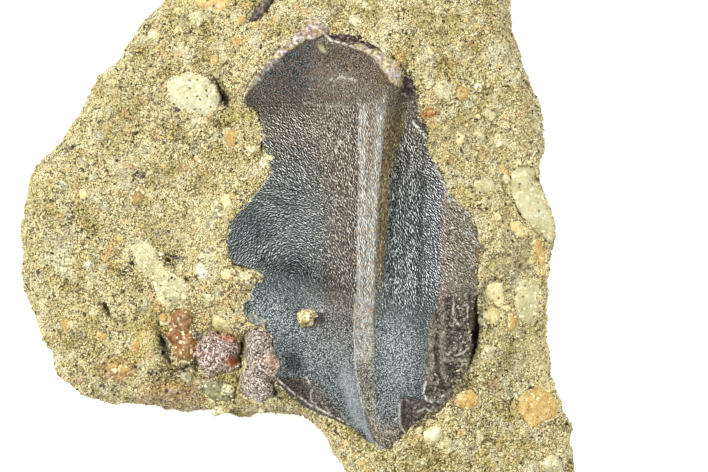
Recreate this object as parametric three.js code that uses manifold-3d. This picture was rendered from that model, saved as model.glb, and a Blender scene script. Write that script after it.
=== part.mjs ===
// A fossil dinosaur tooth, lying face up in a loose piece of pebbly sandstone.
//
// The tooth is a single leaf-shaped crown with a median ridge, sunk in a pocket of the stone. Pebbles, two
// iron nodules, a bone splinter and a crumb of sand stand out of the stone or lie on the tooth. Each is a
// solid of its own.
//
// Millimetres, +Z up. While the pieces are made, the plane origin is the middle of the tooth: +X runs to the
// right of the crown and +Y from the crown's tip to its worn end. The group is then moved so that its origin
// is the centre of the stone's bounding rectangle, on the flat face that the stone rests on.

import * as THREE from "three";
import { ImprovedNoise } from "three/addons/math/ImprovedNoise.js";
import { mergeVertices } from "three/addons/utils/BufferGeometryUtils.js";
import Module from "manifold-3d";

const wasm = await Module();
wasm.setup();

// ---------------------------------------------------------------- driving dimensions

const STONE_TOP = 12.0; // height of the bedding surface round the tooth
const STONE_GIRDLE = 6.2; // height at which the stone is widest
const STONE_BELLY = 1.4; // how far the stone would bulge below its resting face, had it not split flat
const STONE_SQUARENESS = 6.5; // exponent of the stone's superellipse section: 2 is round, more is boxier
const STONE_RINGS = [0, 0.36, 0.54, 0.68, 0.8, 0.89, 0.95, 0.985, 1]; // shares of the radius, going outwards
const STONE_WALL_ROUGHNESS = 0.09; // share of the radius that the broken walls are hollowed by
const STONE_GIRDLE_WANDER = 2.5; // how far the widest line rises and falls round the stone

const TOOTH_LEVEL = 12.1; // height of the crown's margins
const TOOTH_EDGE = 1.3; // thickness at the margins
const TOOTH_KEEL = 5.0; // extra thickness of the hidden side under the middle of the crown
const TOOTH_HALF_WIDTH = 9.8;
const TOOTH_HALF_LENGTH = 16.8;
const TOOTH_FACET = 1.25; // size of a square facet of the crown's relief
const POCKET_FACET = 2.2; // and of the pocket that it lies in

const RIDGE_HEIGHT = 1.7; // median ridge above the faces beside it
const RIDGE_CREST = 1.6; // width of its flat crest
const RIDGE_LEFT_SLOPE = 4.5; // width of the long slope down to the broad left face
const RIDGE_RIGHT_SLOPE = 1.1; // width of the steep slope down to the groove on the right
const RIDGE_X_AT_MIDDLE = 1.05; // where the crest crosses the middle of the tooth
const RIDGE_LEAN = 0.045; // sideways shift of the crest for each millimetre towards the worn end
const RIDGE_FADE = [10.0, 15.5]; // the crest dies out between these heights along the crown

const CLEARANCE = 0.3; // gap between a piece and the pocket that holds it
const ABOVE_ALL = 20; // higher than any piece

// ---------------------------------------------------------------- outlines, counter-clockwise from above

const STONE_OUTLINE = [
  [-13.2, 19.9], [-14.6, 18.1], [-15.9, 17.0], [-16.4, 16.0], [-17.0, 15.0], [-17.8, 14.0], [-18.5, 13.2],
  [-19.8, 12.3], [-20.1, 11.2], [-20.6, 10.1], [-21.2, 9.0], [-22.0, 7.9], [-22.8, 6.9], [-24.0, 6.1],
  [-24.4, 5.3], [-24.9, 4.2], [-25.1, 3.0], [-25.4, 1.8], [-25.6, 0.4], [-25.2, -1.3], [-25.5, -2.7],
  [-25.3, -3.8], [-24.8, -5.1], [-24.4, -6.5], [-23.8, -7.8], [-23.1, -9.0], [-22.8, -10.2], [-22.5, -11.0],
  [-21.6, -11.4], [-20.9, -12.1], [-20.0, -12.4], [-18.6, -12.7], [-16.6, -12.8], [-15.0, -12.9],
  [-14.4, -13.4], [-12.0, -13.5], [-10.6, -13.1], [-9.6, -13.4], [-8.8, -13.8], [-7.7, -13.8],
  [-6.9, -13.2], [-6.2, -13.6], [-4.3, -13.7], [-3.6, -14.1], [-2.8, -15.0], [-1.9, -15.8], [-1.3, -16.8],
  [-0.4, -18.2], [0.6, -20.0], [2.2, -21.9], [4.4, -23.6], [7.2, -24.6], [10.2, -24.9], [13.2, -24.6],
  [15.8, -23.6], [17.3, -22.0], [17.6, -20.4], [17.1, -18.4], [16.8, -17.0], [16.7, -15.8], [16.9, -14.6],
  [16.6, -14.0], [15.8, -13.1], [15.3, -12.0], [15.0, -10.5], [15.2, -9.6], [14.9, -8.0], [14.8, -6.0],
  [14.9, -4.0], [14.8, -3.0], [15.2, -1.5], [15.5, -0.3], [15.3, 1.2], [15.1, 2.0], [14.7, 3.4],
  [14.4, 4.6], [14.2, 5.6], [14.7, 6.6], [14.6, 8.2], [14.5, 9.4], [14.0, 10.8], [13.3, 12.1], [12.9, 13.3],
  [12.6, 14.6], [12.2, 16.0], [12.1, 17.6], [11.8, 19.6], [10.4, 21.2], [7.6, 22.3], [3.4, 22.9],
  [-1.4, 22.8], [-6.0, 22.3], [-10.2, 21.4],
];
const STONE_CENTRE = [-1.5, 0.5]; // every point of the outline can be seen from here

const TOOTH_OUTLINE = [
  [-3.4, 16.6], [-4.9, 15.4], [-6.2, 14.0], [-7.2, 12.8], [-8.1, 11.6], [-8.5, 10.7], [-8.2, 9.9],
  [-7.2, 9.7], [-7.0, 8.0], [-6.7, 6.4], [-6.2, 5.0], [-6.9, 4.1], [-7.8, 3.0], [-8.9, 1.8], [-9.4, 1.0],
  [-9.7, 0.0], [-9.6, -1.4], [-9.0, -2.2], [-7.6, -2.5], [-7.0, -3.2], [-7.8, -4.0], [-8.0, -4.8],
  [-8.8, -5.4], [-8.0, -6.4], [-6.9, -6.9], [-6.2, -7.9], [-5.8, -9.3], [-5.8, -11.1], [-4.4, -12.1],
  [-3.0, -13.1], [-1.5, -14.0], [-0.4, -14.6], [0.5, -15.2], [1.3, -16.1], [2.1, -16.5], [2.9, -16.3],
  [3.8, -15.6], [4.3, -14.8], [5.9, -13.7], [7.0, -12.4], [8.0, -11.2], [8.7, -9.8], [8.9, -8.0],
  [8.9, -6.4], [9.3, -5.2], [9.6, -3.8], [9.6, -2.4], [9.9, -1.1], [9.8, 0.0], [9.3, 1.3], [8.5, 2.3],
  [7.6, 2.9], [7.1, 4.4], [6.3, 5.8], [5.7, 7.0], [5.6, 8.0], [5.0, 8.9], [5.2, 10.6], [4.7, 12.0],
  [3.7, 12.9], [2.9, 13.9], [1.6, 14.7], [-0.1, 15.5], [-2.1, 16.1],
];

// ---------------------------------------------------------------- pieces that stand out of the stone

// at: middle in plan. size: full length, width and thickness. turn: degrees from +X to the length.
// rise: height of the piece's middle above the surface it sits in, as a share of its half thickness.
const PEBBLES = {
  cream_pebble: { at: [-12.4, 11.0], size: [4.5, 3.4, 3.2], turn: -8, rise: -0.15, colour: 0xece7bd },
  pale_mudstone_pebble: { at: [-14.9, -3.0], size: [5.9, 2.7, 2.6], turn: -48, rise: -0.6, colour: 0xe7e1b8 },
  red_chert_pebble: { at: [-13.5, -7.7], size: [4.2, 2.0, 2.2], turn: -80, rise: 0.1, colour: 0xa4643c },
  rusty_nodule: { at: [-10.4, -8.9], size: [3.5, 3.1, 3.0], turn: 20, rise: 0.15, colour: 0xa88672 },
  purple_nodule: { at: [-7.4, -10.1], size: [5.5, 2.8, 3.0], turn: 86, rise: 0.2, colour: 0xa8988c },
  rim_pebble: { at: [13.5, 2.9], size: [5.8, 2.5, 2.8], turn: -62, rise: -0.35, colour: 0xdfdbb0 },
  grey_rim_pebble: { at: [13.5, -5.0], size: [4.0, 2.3, 2.4], turn: 88, rise: -0.45, colour: 0xd6cb9a },
  orange_clast: { at: [14.0, -13.0], size: [3.3, 2.9, 2.4], turn: 10, rise: -0.4, colour: 0xdec281 },
  small_orange_clast: { at: [8.8, -12.7], size: [1.9, 1.4, 1.4], turn: 25, rise: -0.1, colour: 0xddbe7a },
  white_pebble: { at: [6.1, -15.3], size: [1.8, 1.5, 1.4], turn: -15, rise: 0.0, colour: 0xefebc3 },
  yellow_pebble: { at: [10.9, -4.4], size: [2.0, 1.7, 1.5], turn: 70, rise: -0.3, colour: 0xeee1aa },
  small_yellow_pebble: { at: [10.5, -6.1], size: [1.6, 1.2, 1.2], turn: 110, rise: -0.25, colour: 0xe9d99b },
  amber_chip: { at: [5.95, 9.5], size: [1.6, 0.8, 0.9], turn: 8, rise: 0.1, colour: 0xc59b61 },
  top_pebble: { at: [-11.0, 18.3], size: [3.2, 1.9, 2.0], turn: 5, rise: -0.3, colour: 0xebd895 },
  corner_pebble: { at: [15.1, -17.9], size: [2.0, 1.7, 1.6], turn: 40, rise: -0.2, colour: 0xe5ddac },
  bone_splinter: { at: [-7.0, 17.5], size: [4.4, 1.0, 1.2], turn: 54, rise: 0.1, colour: 0x4a3a34 },
};
const PEBBLE_DETAIL = 2; // each face of the icosahedron is cut into (detail + 1) squared
const PEBBLE_LUMPS = 0.09; // share of the radius that a pebble's surface strays by

const CRUMB = { name: "sand_crumb", at: [-3.4, -6.2], size: [1.8, 1.6, 1.5], turn: 30, colour: 0xc1b792 };

const STONE_COLOUR = 0xc4b784;
const TOOTH_COLOUR = 0x83857f;

// ---------------------------------------------------------------- helpers

const noise = new ImprovedNoise();

/** Smooth step from 0 at a to 1 at b. */
const ease = (a, b, x) => THREE.MathUtils.smoothstep(x, a, b);

/** A soft bump, 1 at the middle and falling away over the given reach. */
const bump = (distance, reach) => Math.exp(-((distance / reach) ** 2));

/** Rewrites each vertex as place(x, y, z, u, v) gives it. */
function warped(geometry, place) {
  const position = geometry.getAttribute("position");
  const uv = geometry.getAttribute("uv");
  for (let i = 0; i < position.count; i++) {
    const moved = place(position.getX(i), position.getY(i), position.getZ(i), uv?.getX(i), uv?.getY(i));
    position.setXYZ(i, ...moved);
  }
  return geometry;
}

/** A closed geometry as a manifold-3d solid, for joining and cutting. */
function solidOf(geometry) {
  const bare = geometry.clone();
  bare.deleteAttribute("normal");
  bare.deleteAttribute("uv");
  const merged = mergeVertices(bare, 1e-4);
  return new wasm.Manifold(
    new wasm.Mesh({
      numProp: 3,
      vertProperties: merged.getAttribute("position").array,
      triVerts: new Uint32Array(merged.index.array),
    }),
  );
}

/** A manifold-3d solid as a geometry. */
function geometryOf(solid) {
  const mesh = solid.getMesh();
  const geometry = new THREE.BufferGeometry();
  geometry.setAttribute("position", new THREE.BufferAttribute(mesh.vertProperties, 3));
  geometry.setIndex(new THREE.BufferAttribute(mesh.triVerts, 1));
  geometry.computeVertexNormals();
  return geometry;
}

/** The outline with each corner moved outwards, so that its sides lie the gap away. */
function grown(outline, gap) {
  const corners = outline.map(([x, y]) => new THREE.Vector2(x, y));
  return corners.map((corner, i) => {
    const before = corner.clone().sub(corners.at(i - 1)).normalize();
    const after = corners[(i + 1) % corners.length].clone().sub(corner).normalize();
    const outwards = new THREE.Vector2(before.y + after.y, -before.x - after.x).normalize();
    const slant = Math.max(0.6, outwards.x * after.y - outwards.y * after.x);
    return corner.clone().addScaledVector(outwards, gap / slant).toArray();
  });
}

/** The outline as an upright prism between two heights. */
function prism(outline, low, high) {
  const shape = new THREE.Shape(outline.map(([x, y]) => new THREE.Vector2(x, y)));
  const geometry = new THREE.ExtrudeGeometry(shape, { depth: high - low, bevelEnabled: false });
  return solidOf(geometry.translate(0, 0, low));
}

/** A block over the tooth's plan whose upper and lower faces follow two height functions. */
function reliefBlock(top, bottom, facet) {
  const width = 2 * (TOOTH_HALF_WIDTH + 1);
  const length = 2 * (TOOTH_HALF_LENGTH + 1);
  const across = Math.round(width / facet);
  const along = Math.round(length / facet);
  const block = new THREE.BoxGeometry(width, length, 1, across, along, 1);
  return solidOf(warped(block, (x, y, z) => [x, y, z > 0 ? top(x, y) : bottom(x, y)]));
}

// ---------------------------------------------------------------- the sandstone

/** Height of the bedding surface, before it rounds over at the edge. */
function beddingHeight(x, y) {
  const fallLeft = 1.1 * ease(-12, -26, x);
  const fallRight = 0.5 * ease(10, 16, x);
  const fallTip = 1.3 * ease(-15, -25, y);
  const fallWornEnd = 0.5 * ease(17, 23, y);
  const waves = 0.45 * noise.noise(x / 7, y / 7, 4.2);
  return STONE_TOP - fallLeft - fallRight - fallTip - fallWornEnd + waves;
}

/** The outline with each corner drawn towards the middle of its neighbours on both sides. */
function softened(outline) {
  const near = [-3, -2, -1, 0, 1, 2, 3];
  return outline.map((_corner, i) => {
    const middle = new THREE.Vector2();
    for (const step of near) {
      middle.add(new THREE.Vector2(...outline.at((i + step) % outline.length)));
    }
    return middle.divideScalar(near.length).toArray();
  });
}

/** The whole stone, before anything is let into it: a boxy pillow on the outline, split flat underneath. */
function uncutStone() {
  const columns = STONE_OUTLINE.length;
  const rows = 2 * (STONE_RINGS.length - 1);
  const pillow = new THREE.SphereGeometry(1, columns, rows);
  const softOutline = softened(STONE_OUTLINE);
  warped(pillow, (_x, _y, _z, u, v) => {
    const column = Math.round(u * columns) % columns;
    const row = Math.round((1 - v) * rows);
    const ring = STONE_RINGS[Math.min(row, rows - row)];
    const level = (1 - ring ** STONE_SQUARENESS) ** (1 / STONE_SQUARENESS) * (2 * row < rows ? 1 : -1);
    const [rimX, rimY] = STONE_OUTLINE[column];
    const offGirdle = Math.min(1, 2 * Math.abs(level));
    const hollow = STONE_WALL_ROUGHNESS * Math.abs(noise.noise(rimX / 5, rimY / 5, 2.5 * level)) * offGirdle;
    const reach = ring * (1 - hollow);
    const x = THREE.MathUtils.lerp(rimX, softOutline[column][0], offGirdle) * reach;
    const y = THREE.MathUtils.lerp(rimY, softOutline[column][1], offGirdle) * reach;
    const centreX = STONE_CENTRE[0] * (1 - reach);
    const centreY = STONE_CENTRE[1] * (1 - reach);
    const girdle = STONE_GIRDLE + STONE_GIRDLE_WANDER * noise.noise(rimX / 9, rimY / 9, 7.7);
    const span = level > 0 ? beddingHeight(x + centreX, y + centreY) - girdle : girdle + STONE_BELLY;
    return [x + centreX, y + centreY, girdle + level * span];
  });
  const below = new THREE.BoxGeometry(100, 100, 10).translate(0, 0, -5);
  return solidOf(pillow).subtract(solidOf(below));
}

// ---------------------------------------------------------------- the tooth

/** Height of the crown's face: a median ridge between a broad hollow left face and a grooved right one. */
function crownHeight(x, y) {
  const crest = RIDGE_X_AT_MIDDLE + RIDGE_LEAN * y + 0.9 * ease(-13, -17, y);
  const fade = (1 - 0.75 * ease(...RIDGE_FADE, y)) * (1 - 0.5 * ease(-12, -17, y));
  const fromCrest = Math.max(0, Math.abs(x - crest) - RIDGE_CREST / 2);
  const slope = x < crest ? RIDGE_LEFT_SLOPE : RIDGE_RIGHT_SLOPE;
  const ridge = RIDGE_HEIGHT * fade * (1 - ease(0, slope, fromCrest));
  const leftHollow = -0.45 * bump(x + 4.6, 2.6) * bump(y + 2, 12);
  const rightHollow = -0.35 * bump(x - crest - 2.0, 1.2);
  const marginRidge = 0.55 * bump(x - 7.6 + 0.012 * y * y, 0.9) * ease(-14, -10, y) * (1 - ease(5, 9, y));
  const wornEnd = -0.8 * ease(12.5, 16.6, y);
  const tip = -0.9 * ease(-13, -16.8, y);
  return TOOTH_LEVEL + ridge + leftHollow + rightHollow + marginRidge + wornEnd + tip;
}

/** Height of the crown's hidden side: thin at the margins, with a deep keel along the middle. */
function keelHeight(x, y) {
  const fromAxis = (x / TOOTH_HALF_WIDTH) ** 2 + (y / TOOTH_HALF_LENGTH) ** 2;
  return TOOTH_LEVEL - TOOTH_EDGE - TOOTH_KEEL * Math.max(0, 1 - fromAxis);
}

function tooth() {
  return prism(TOOTH_OUTLINE, 0, ABOVE_ALL).intersect(reliefBlock(crownHeight, keelHeight, TOOTH_FACET));
}

/** The room that the stone leaves for the tooth, open to the sky. */
function toothPocket() {
  const floor = (x, y) => keelHeight(x, y) - CLEARANCE;
  const room = reliefBlock(() => ABOVE_ALL, floor, POCKET_FACET);
  return prism(grown(TOOTH_OUTLINE, CLEARANCE), 0, ABOVE_ALL).intersect(room);
}

// ---------------------------------------------------------------- pebbles

/** A water-worn lump of the given full size, turned and set with its middle at the given place. */
function lump(size, turn, middle, seed, margin = 0) {
  const geometry = new THREE.IcosahedronGeometry(1, PEBBLE_DETAIL);
  warped(geometry, (x, y, z) => {
    const stray = 1 + PEBBLE_LUMPS * noise.noise(1.7 * x + seed, 1.7 * y, 1.7 * z);
    return [x, y, z].map((c, axis) => c * stray * (size[axis] / 2 + margin));
  });
  return geometry.rotateZ(THREE.MathUtils.degToRad(turn)).translate(...middle);
}

/** Height of a solid's upper surface at a place in plan. */
function surfaceHeight(mesh, [x, y]) {
  const ray = new THREE.Raycaster(new THREE.Vector3(x, y, ABOVE_ALL), new THREE.Vector3(0, 0, -1));
  return ray.intersectObject(mesh)[0].point.z;
}

function material(colour, roughness) {
  return new THREE.MeshStandardMaterial({ color: colour, roughness, metalness: 0 });
}

function piece(name, geometry, colour, roughness) {
  const mesh = new THREE.Mesh(geometry, material(colour, roughness));
  mesh.name = name;
  return mesh;
}

// ---------------------------------------------------------------- assembly

const crown = tooth();
const crownMesh = piece("tooth", geometryOf(crown), TOOTH_COLOUR, 0.4);

let stone = uncutStone();
const uncutMesh = new THREE.Mesh(geometryOf(stone), new THREE.MeshBasicMaterial({ side: THREE.DoubleSide }));
stone = stone.subtract(toothPocket());

const specimen = new THREE.Group();
const pebbleMeshes = Object.entries(PEBBLES).map(([name, { at, size, turn, rise, colour }], seed) => {
  const middle = [...at, surfaceHeight(uncutMesh, at) + (rise * size[2]) / 2];
  stone = stone.subtract(solidOf(lump(size, turn, middle, seed, CLEARANCE)));
  const pebble = solidOf(lump(size, turn, middle, seed)).subtract(toothPocket());
  return piece(name, geometryOf(pebble), colour, 0.8);
});

const crumbHeight = surfaceHeight(crownMesh, CRUMB.at) + CRUMB.size[2] / 2 + CLEARANCE;
const crumb = lump(CRUMB.size, CRUMB.turn, [...CRUMB.at, crumbHeight], pebbleMeshes.length);

specimen.add(piece("sandstone_matrix", geometryOf(stone), STONE_COLOUR, 0.95));
specimen.add(crownMesh);
specimen.add(...pebbleMeshes);
specimen.add(piece(CRUMB.name, crumb, CRUMB.colour, 0.95));

const extent = new THREE.Box3().setFromObject(specimen);
const centre = extent.getCenter(new THREE.Vector3());
specimen.position.set(-centre.x, -centre.y, -extent.min.z);

const root = new THREE.Group();
root.add(specimen);

export default root;
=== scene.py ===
"""A fossil dinosaur tooth lying face up in a loose piece of pebbly sandstone.

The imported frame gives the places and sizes. Here the stone gets its grains, hollows and colours, the crown
its ridge, wrinkles, cracks and broken rim, and each pebble its own shape and finish. While the meshes are
made, lengths are millimetres and the plane origin is the middle of the tooth, as seen from above.
"""

from __future__ import annotations

import logging
import math
from collections.abc import Callable, Iterable, Sequence
from dataclasses import dataclass, field, replace
from enum import Enum
from functools import partial

import bmesh
import bpy
import numpy as np
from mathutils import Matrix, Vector
from mathutils.bvhtree import BVHTree
from mathutils.kdtree import KDTree


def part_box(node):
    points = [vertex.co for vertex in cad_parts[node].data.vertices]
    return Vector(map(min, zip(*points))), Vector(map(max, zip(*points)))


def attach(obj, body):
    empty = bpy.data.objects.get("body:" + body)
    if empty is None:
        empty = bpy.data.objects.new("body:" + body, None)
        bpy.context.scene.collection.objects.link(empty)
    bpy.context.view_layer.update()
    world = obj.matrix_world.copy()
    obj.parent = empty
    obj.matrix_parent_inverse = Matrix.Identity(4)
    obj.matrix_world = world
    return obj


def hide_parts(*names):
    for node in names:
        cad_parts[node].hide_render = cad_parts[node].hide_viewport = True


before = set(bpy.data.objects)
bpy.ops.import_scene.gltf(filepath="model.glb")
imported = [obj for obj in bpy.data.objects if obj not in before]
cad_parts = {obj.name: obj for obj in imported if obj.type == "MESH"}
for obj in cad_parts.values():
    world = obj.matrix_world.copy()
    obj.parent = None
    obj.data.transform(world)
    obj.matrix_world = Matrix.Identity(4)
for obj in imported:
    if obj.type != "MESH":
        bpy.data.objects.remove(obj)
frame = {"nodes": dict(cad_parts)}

log = logging.getLogger("tooth_scene")

MM = 0.001  # metres in a millimetre
BODY = "root"

Points = np.ndarray  # (n, 3) places, or (n, 2) in plan, in millimetres
Values = np.ndarray  # (n,) numbers, one for each point
Faces = np.ndarray  # (n, 3) corner numbers of triangles, counter-clockwise from outside
Line = tuple[tuple[float, float], ...]  # corners of a line in plan, or pairs for a table to look up
Colour = tuple[int, int, int]  # red, green and blue as on a screen, 0 to 255
Stops = tuple[tuple[float, Colour], ...]  # places from 0 to 1 and the colours there

SKY = 30.0  # a height above everything, from where plumb lines fall
SAND_GRAIN = 0.17  # width of a grain in the colour of packed sand
GRIT = 0.085  # width of the finest grit that shows
CREVICE_SHADE: Colour = (50, 38, 25)  # painted shade of a deep crevice


# ---------------------------------------------------------------- numbers


def ease(low: float, high: float, value: Values) -> Values:
    """Smooth step: 0 up to low, 1 from high on. High may be below low, for a step downwards."""
    share = np.clip((value - low) / (high - low), 0, 1)
    return share * share * (3 - 2 * share)


def bump(distance: Values, reach: float) -> Values:
    """A soft bump: 1 at distance 0, and little more than a third of that at its reach."""
    return np.exp(-((distance / reach) ** 2))


def blend(start: Values, end: Values, share: Values) -> Values:
    """Mixes two values by a share from 0 to 1."""
    return start + (end - start) * share


def linear(colour: Colour) -> tuple[float, float, float, float]:
    """A screen colour as the light values that shaders use.

    Args:
        colour: red, green and blue from 0 to 255.

    Returns:
        Red, green, blue and a full alpha, from 0 to 1.
    """
    channels = [c / 255 for c in colour]
    curved = [c / 12.92 if c <= 0.04045 else ((c + 0.055) / 1.055) ** 2.4 for c in channels]
    return (*curved, 1.0)


def unit(vectors: Points) -> Points:
    """The same directions at length 1."""
    return vectors / np.maximum(np.linalg.norm(vectors, axis=1, keepdims=True), 1e-12)


def level_with(plan: Points) -> Points:
    """Places in plan as points at height 0."""
    return np.column_stack([plan, np.zeros(len(plan))])


def rolled_off(depth: Values, roll: float) -> Values:
    """How far an edge of a given roundness falls away at each depth inside it."""
    share = np.clip(1 - depth / roll, 0, 1)
    return roll * (1 - np.sqrt(1 - share**2 * 0.99))


def plumb(surface: BVHTree, x: float, y: float) -> Vector | None:
    """Where a plumb line from above first meets a surface."""
    return surface.ray_cast(Vector((x, y, SKY)), Vector((0, 0, -1)))[0]


class NoiseField:
    """Seeded gradient and cell noise over points in millimetres."""

    TABLE = 256
    CORNERS = np.array([(i, j, k) for i in (0, 1) for j in (0, 1) for k in (0, 1)])
    AROUND = np.array([(i, j, k) for i in (-1, 0, 1) for j in (-1, 0, 1) for k in (-1, 0, 1)])

    def __init__(self, seed: int) -> None:
        """Shuffles the tables.

        Args:
            seed: chooses the pattern.
        """
        rng = np.random.default_rng(seed)
        self._order = rng.permutation(self.TABLE)
        self._gradients = unit(rng.normal(size=(self.TABLE, 3)))
        self._jitter = rng.random((self.TABLE, 3))

    def _entry(self, cell: np.ndarray) -> np.ndarray:
        """Table entry of each whole-numbered cell."""
        last = self.TABLE - 1
        entry = self._order[cell[:, 0] & last]
        entry = self._order[(entry + cell[:, 1]) & last]
        return self._order[(entry + cell[:, 2]) & last]

    def smooth(self, points: Points, size: float) -> Values:
        """Gradient noise.

        Args:
            points: where to read it.
            size: width of its blobs.

        Returns:
            Numbers from about -1 to 1.
        """
        scaled = points / size
        base = np.floor(scaled).astype(int)
        inside = scaled - base
        curve = inside**3 * (inside * (inside * 6 - 15) + 10)
        total = np.zeros(len(points))
        for corner in self.CORNERS:
            weight = np.prod(np.where(corner == 1, curve, 1 - curve), axis=1)
            slope = self._gradients[self._entry(base + corner)]
            total += weight * np.einsum("ij,ij->i", slope, inside - corner)
        return 1.7 * total

    def layered(self, points: Points, size: float, layers: int = 3) -> Values:
        """Gradient noise in layers, each half the size and strength of the one before.

        Args:
            points: where to read it.
            size: width of the largest blobs.
            layers: how many sizes are added up.

        Returns:
            Numbers from about -1 to 1.
        """
        total = np.zeros(len(points))
        for layer in range(layers):
            total += self.smooth(points + 31.7 * layer, size / 2**layer) / 2**layer
        return total / (2 - 0.5 ** (layers - 1))

    def cells(self, points: Points, size: float) -> tuple[Values, Values]:
        """Distances to scattered cell middles.

        Args:
            points: where to read it.
            size: width of a cell.

        Returns:
            Distance to the nearest middle, and how much further the second nearest is, in cell widths.
        """
        scaled = points / size
        base = np.floor(scaled).astype(int)
        first = np.full(len(points), 9.0)
        second = np.full(len(points), 9.0)
        for step in self.AROUND:
            middle = base + step + self._jitter[self._entry(base + step)]
            distance = np.linalg.norm(scaled - middle, axis=1)
            second = np.minimum(second, np.maximum(first, distance))
            first = np.minimum(first, distance)
        return first, second - first


# ---------------------------------------------------------------- lines and outlines in plan


def from_line(points: Points, line: Line) -> Values:
    """Distance from an open line of straight stretches.

    Args:
        points: places in plan.
        line: the line's corners.

    Returns:
        The distance of each point from the nearest stretch.
    """
    nearest = np.full(len(points), np.inf)
    corners = np.array(line, float)
    for start, end in zip(corners[:-1], corners[1:]):
        along = end - start
        share = np.clip((points[:, :2] - start) @ along / (along @ along), 0, 1)
        foot = start + share[:, None] * along
        nearest = np.minimum(nearest, np.linalg.norm(points[:, :2] - foot, axis=1))
    return nearest


@dataclass(frozen=True)
class Spot:
    """An oval place on the stone or the tooth: a hollow, a stain, or a patch of painted light or shade."""

    x: float
    y: float
    long: float
    wide: float
    turn: float = 0.0
    strength: float = 1.0

    def share(self, points: Points) -> Values:
        """How strongly the spot shows at each point.

        Args:
            points: places in plan.

        Returns:
            Its strength at the middle, falling away to 0.
        """
        angle = math.radians(self.turn)
        across = points[:, 0] - self.x
        up = points[:, 1] - self.y
        first = (across * math.cos(angle) + up * math.sin(angle)) / self.long
        second = (up * math.cos(angle) - across * math.sin(angle)) / self.wide
        return self.strength * np.exp(-((first**2 + second**2) ** 1.5))


def spots(points: Points, places: Sequence[Spot]) -> Values:
    """The strongest of several spots at each point."""
    total = np.zeros(len(points))
    for place in places:
        total = np.maximum(total, place.share(points))
    return total


@dataclass(frozen=True)
class Stroke:
    """A narrow feature along a line: a crack, a groove or a raised edge."""

    line: Line
    width: float
    strength: float = 1.0

    def share(self, points: Points) -> Values:
        """How strongly the stroke shows at each point: its strength on the line, down to 0 on both sides."""
        return self.strength * ease(1.3 * self.width, 0.25 * self.width, from_line(points, self.line))


def strokes(points: Points, lines: Sequence[Stroke]) -> Values:
    """The strongest of several strokes at each point."""
    total = np.zeros(len(points))
    for line in lines:
        total = np.maximum(total, line.share(points))
    return total


class Outline:
    """A closed line in plan, counter-clockwise, that can say how deep inside it a point lies."""

    def __init__(self, corners: Points) -> None:
        """Stores the line, closely spaced points of which the last doesn't repeat the first."""
        self.corners = corners
        self._tree = KDTree(len(corners))
        for number, (x, y) in enumerate(corners):
            self._tree.insert((x, y, 0), number)
        self._tree.balance()

    @classmethod
    def evenly(cls, corners: Points, step: float, softness: float) -> Outline:
        """Makes an outline with even steps and rounded corners.

        Args:
            corners: the rough outline, either way round.
            step: spacing of the new points.
            softness: how far a corner's rounding reaches.

        Returns:
            The smooth outline.
        """
        ahead = np.roll(corners, -1, axis=0)
        if (corners[:, 0] * ahead[:, 1] - ahead[:, 0] * corners[:, 1]).sum() < 0:
            corners = corners[::-1]
        closed = np.vstack([corners, corners[:1]])
        run = np.concatenate([[0], np.cumsum(np.linalg.norm(np.diff(closed, axis=0), axis=1))])
        count = int(run[-1] / step)
        at = np.linspace(0, run[-1], count, endpoint=False)
        even = np.stack([np.interp(at, run, closed[:, axis]) for axis in (0, 1)], axis=1)
        offsets = np.minimum(np.arange(count), count - np.arange(count)) * step
        kernel = bump(offsets, softness)
        spectrum = np.fft.rfft(kernel / kernel.sum())[:, None]
        return cls(np.fft.irfft(np.fft.rfft(even, axis=0) * spectrum, n=count, axis=0))

    def outwards(self) -> Points:
        """Direction out of the outline at each of its points."""
        along = np.roll(self.corners, -1, axis=0) - np.roll(self.corners, 1, axis=0)
        return unit(np.stack([along[:, 1], -along[:, 0]], axis=1))

    def depth(self, points: Points) -> tuple[Values, Points]:
        """How deep each point lies inside.

        Args:
            points: places in plan.

        Returns:
            The distance from the line, below 0 outside, and the nearest place on the line.
        """
        nearest = np.array([self._tree.find((x, y, 0))[1] for x, y in points[:, :2]])
        distance = np.full(len(points), np.inf)
        foot = np.zeros((len(points), 2))
        for step in (-1, 1):
            start = self.corners[nearest]
            along = self.corners[(nearest + step) % len(self.corners)] - start
            share = np.einsum("ij,ij->i", points[:, :2] - start, along)
            share /= np.einsum("ij,ij->i", along, along)
            place = start + np.clip(share, 0, 1)[:, None] * along
            away = np.linalg.norm(points[:, :2] - place, axis=1)
            closer = away < distance
            distance = np.where(closer, away, distance)
            foot[closer] = place[closer]
        side = np.einsum("ij,ij->i", points[:, :2] - foot, self.outwards()[nearest])
        return np.where(side > 0, -distance, distance), foot


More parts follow.
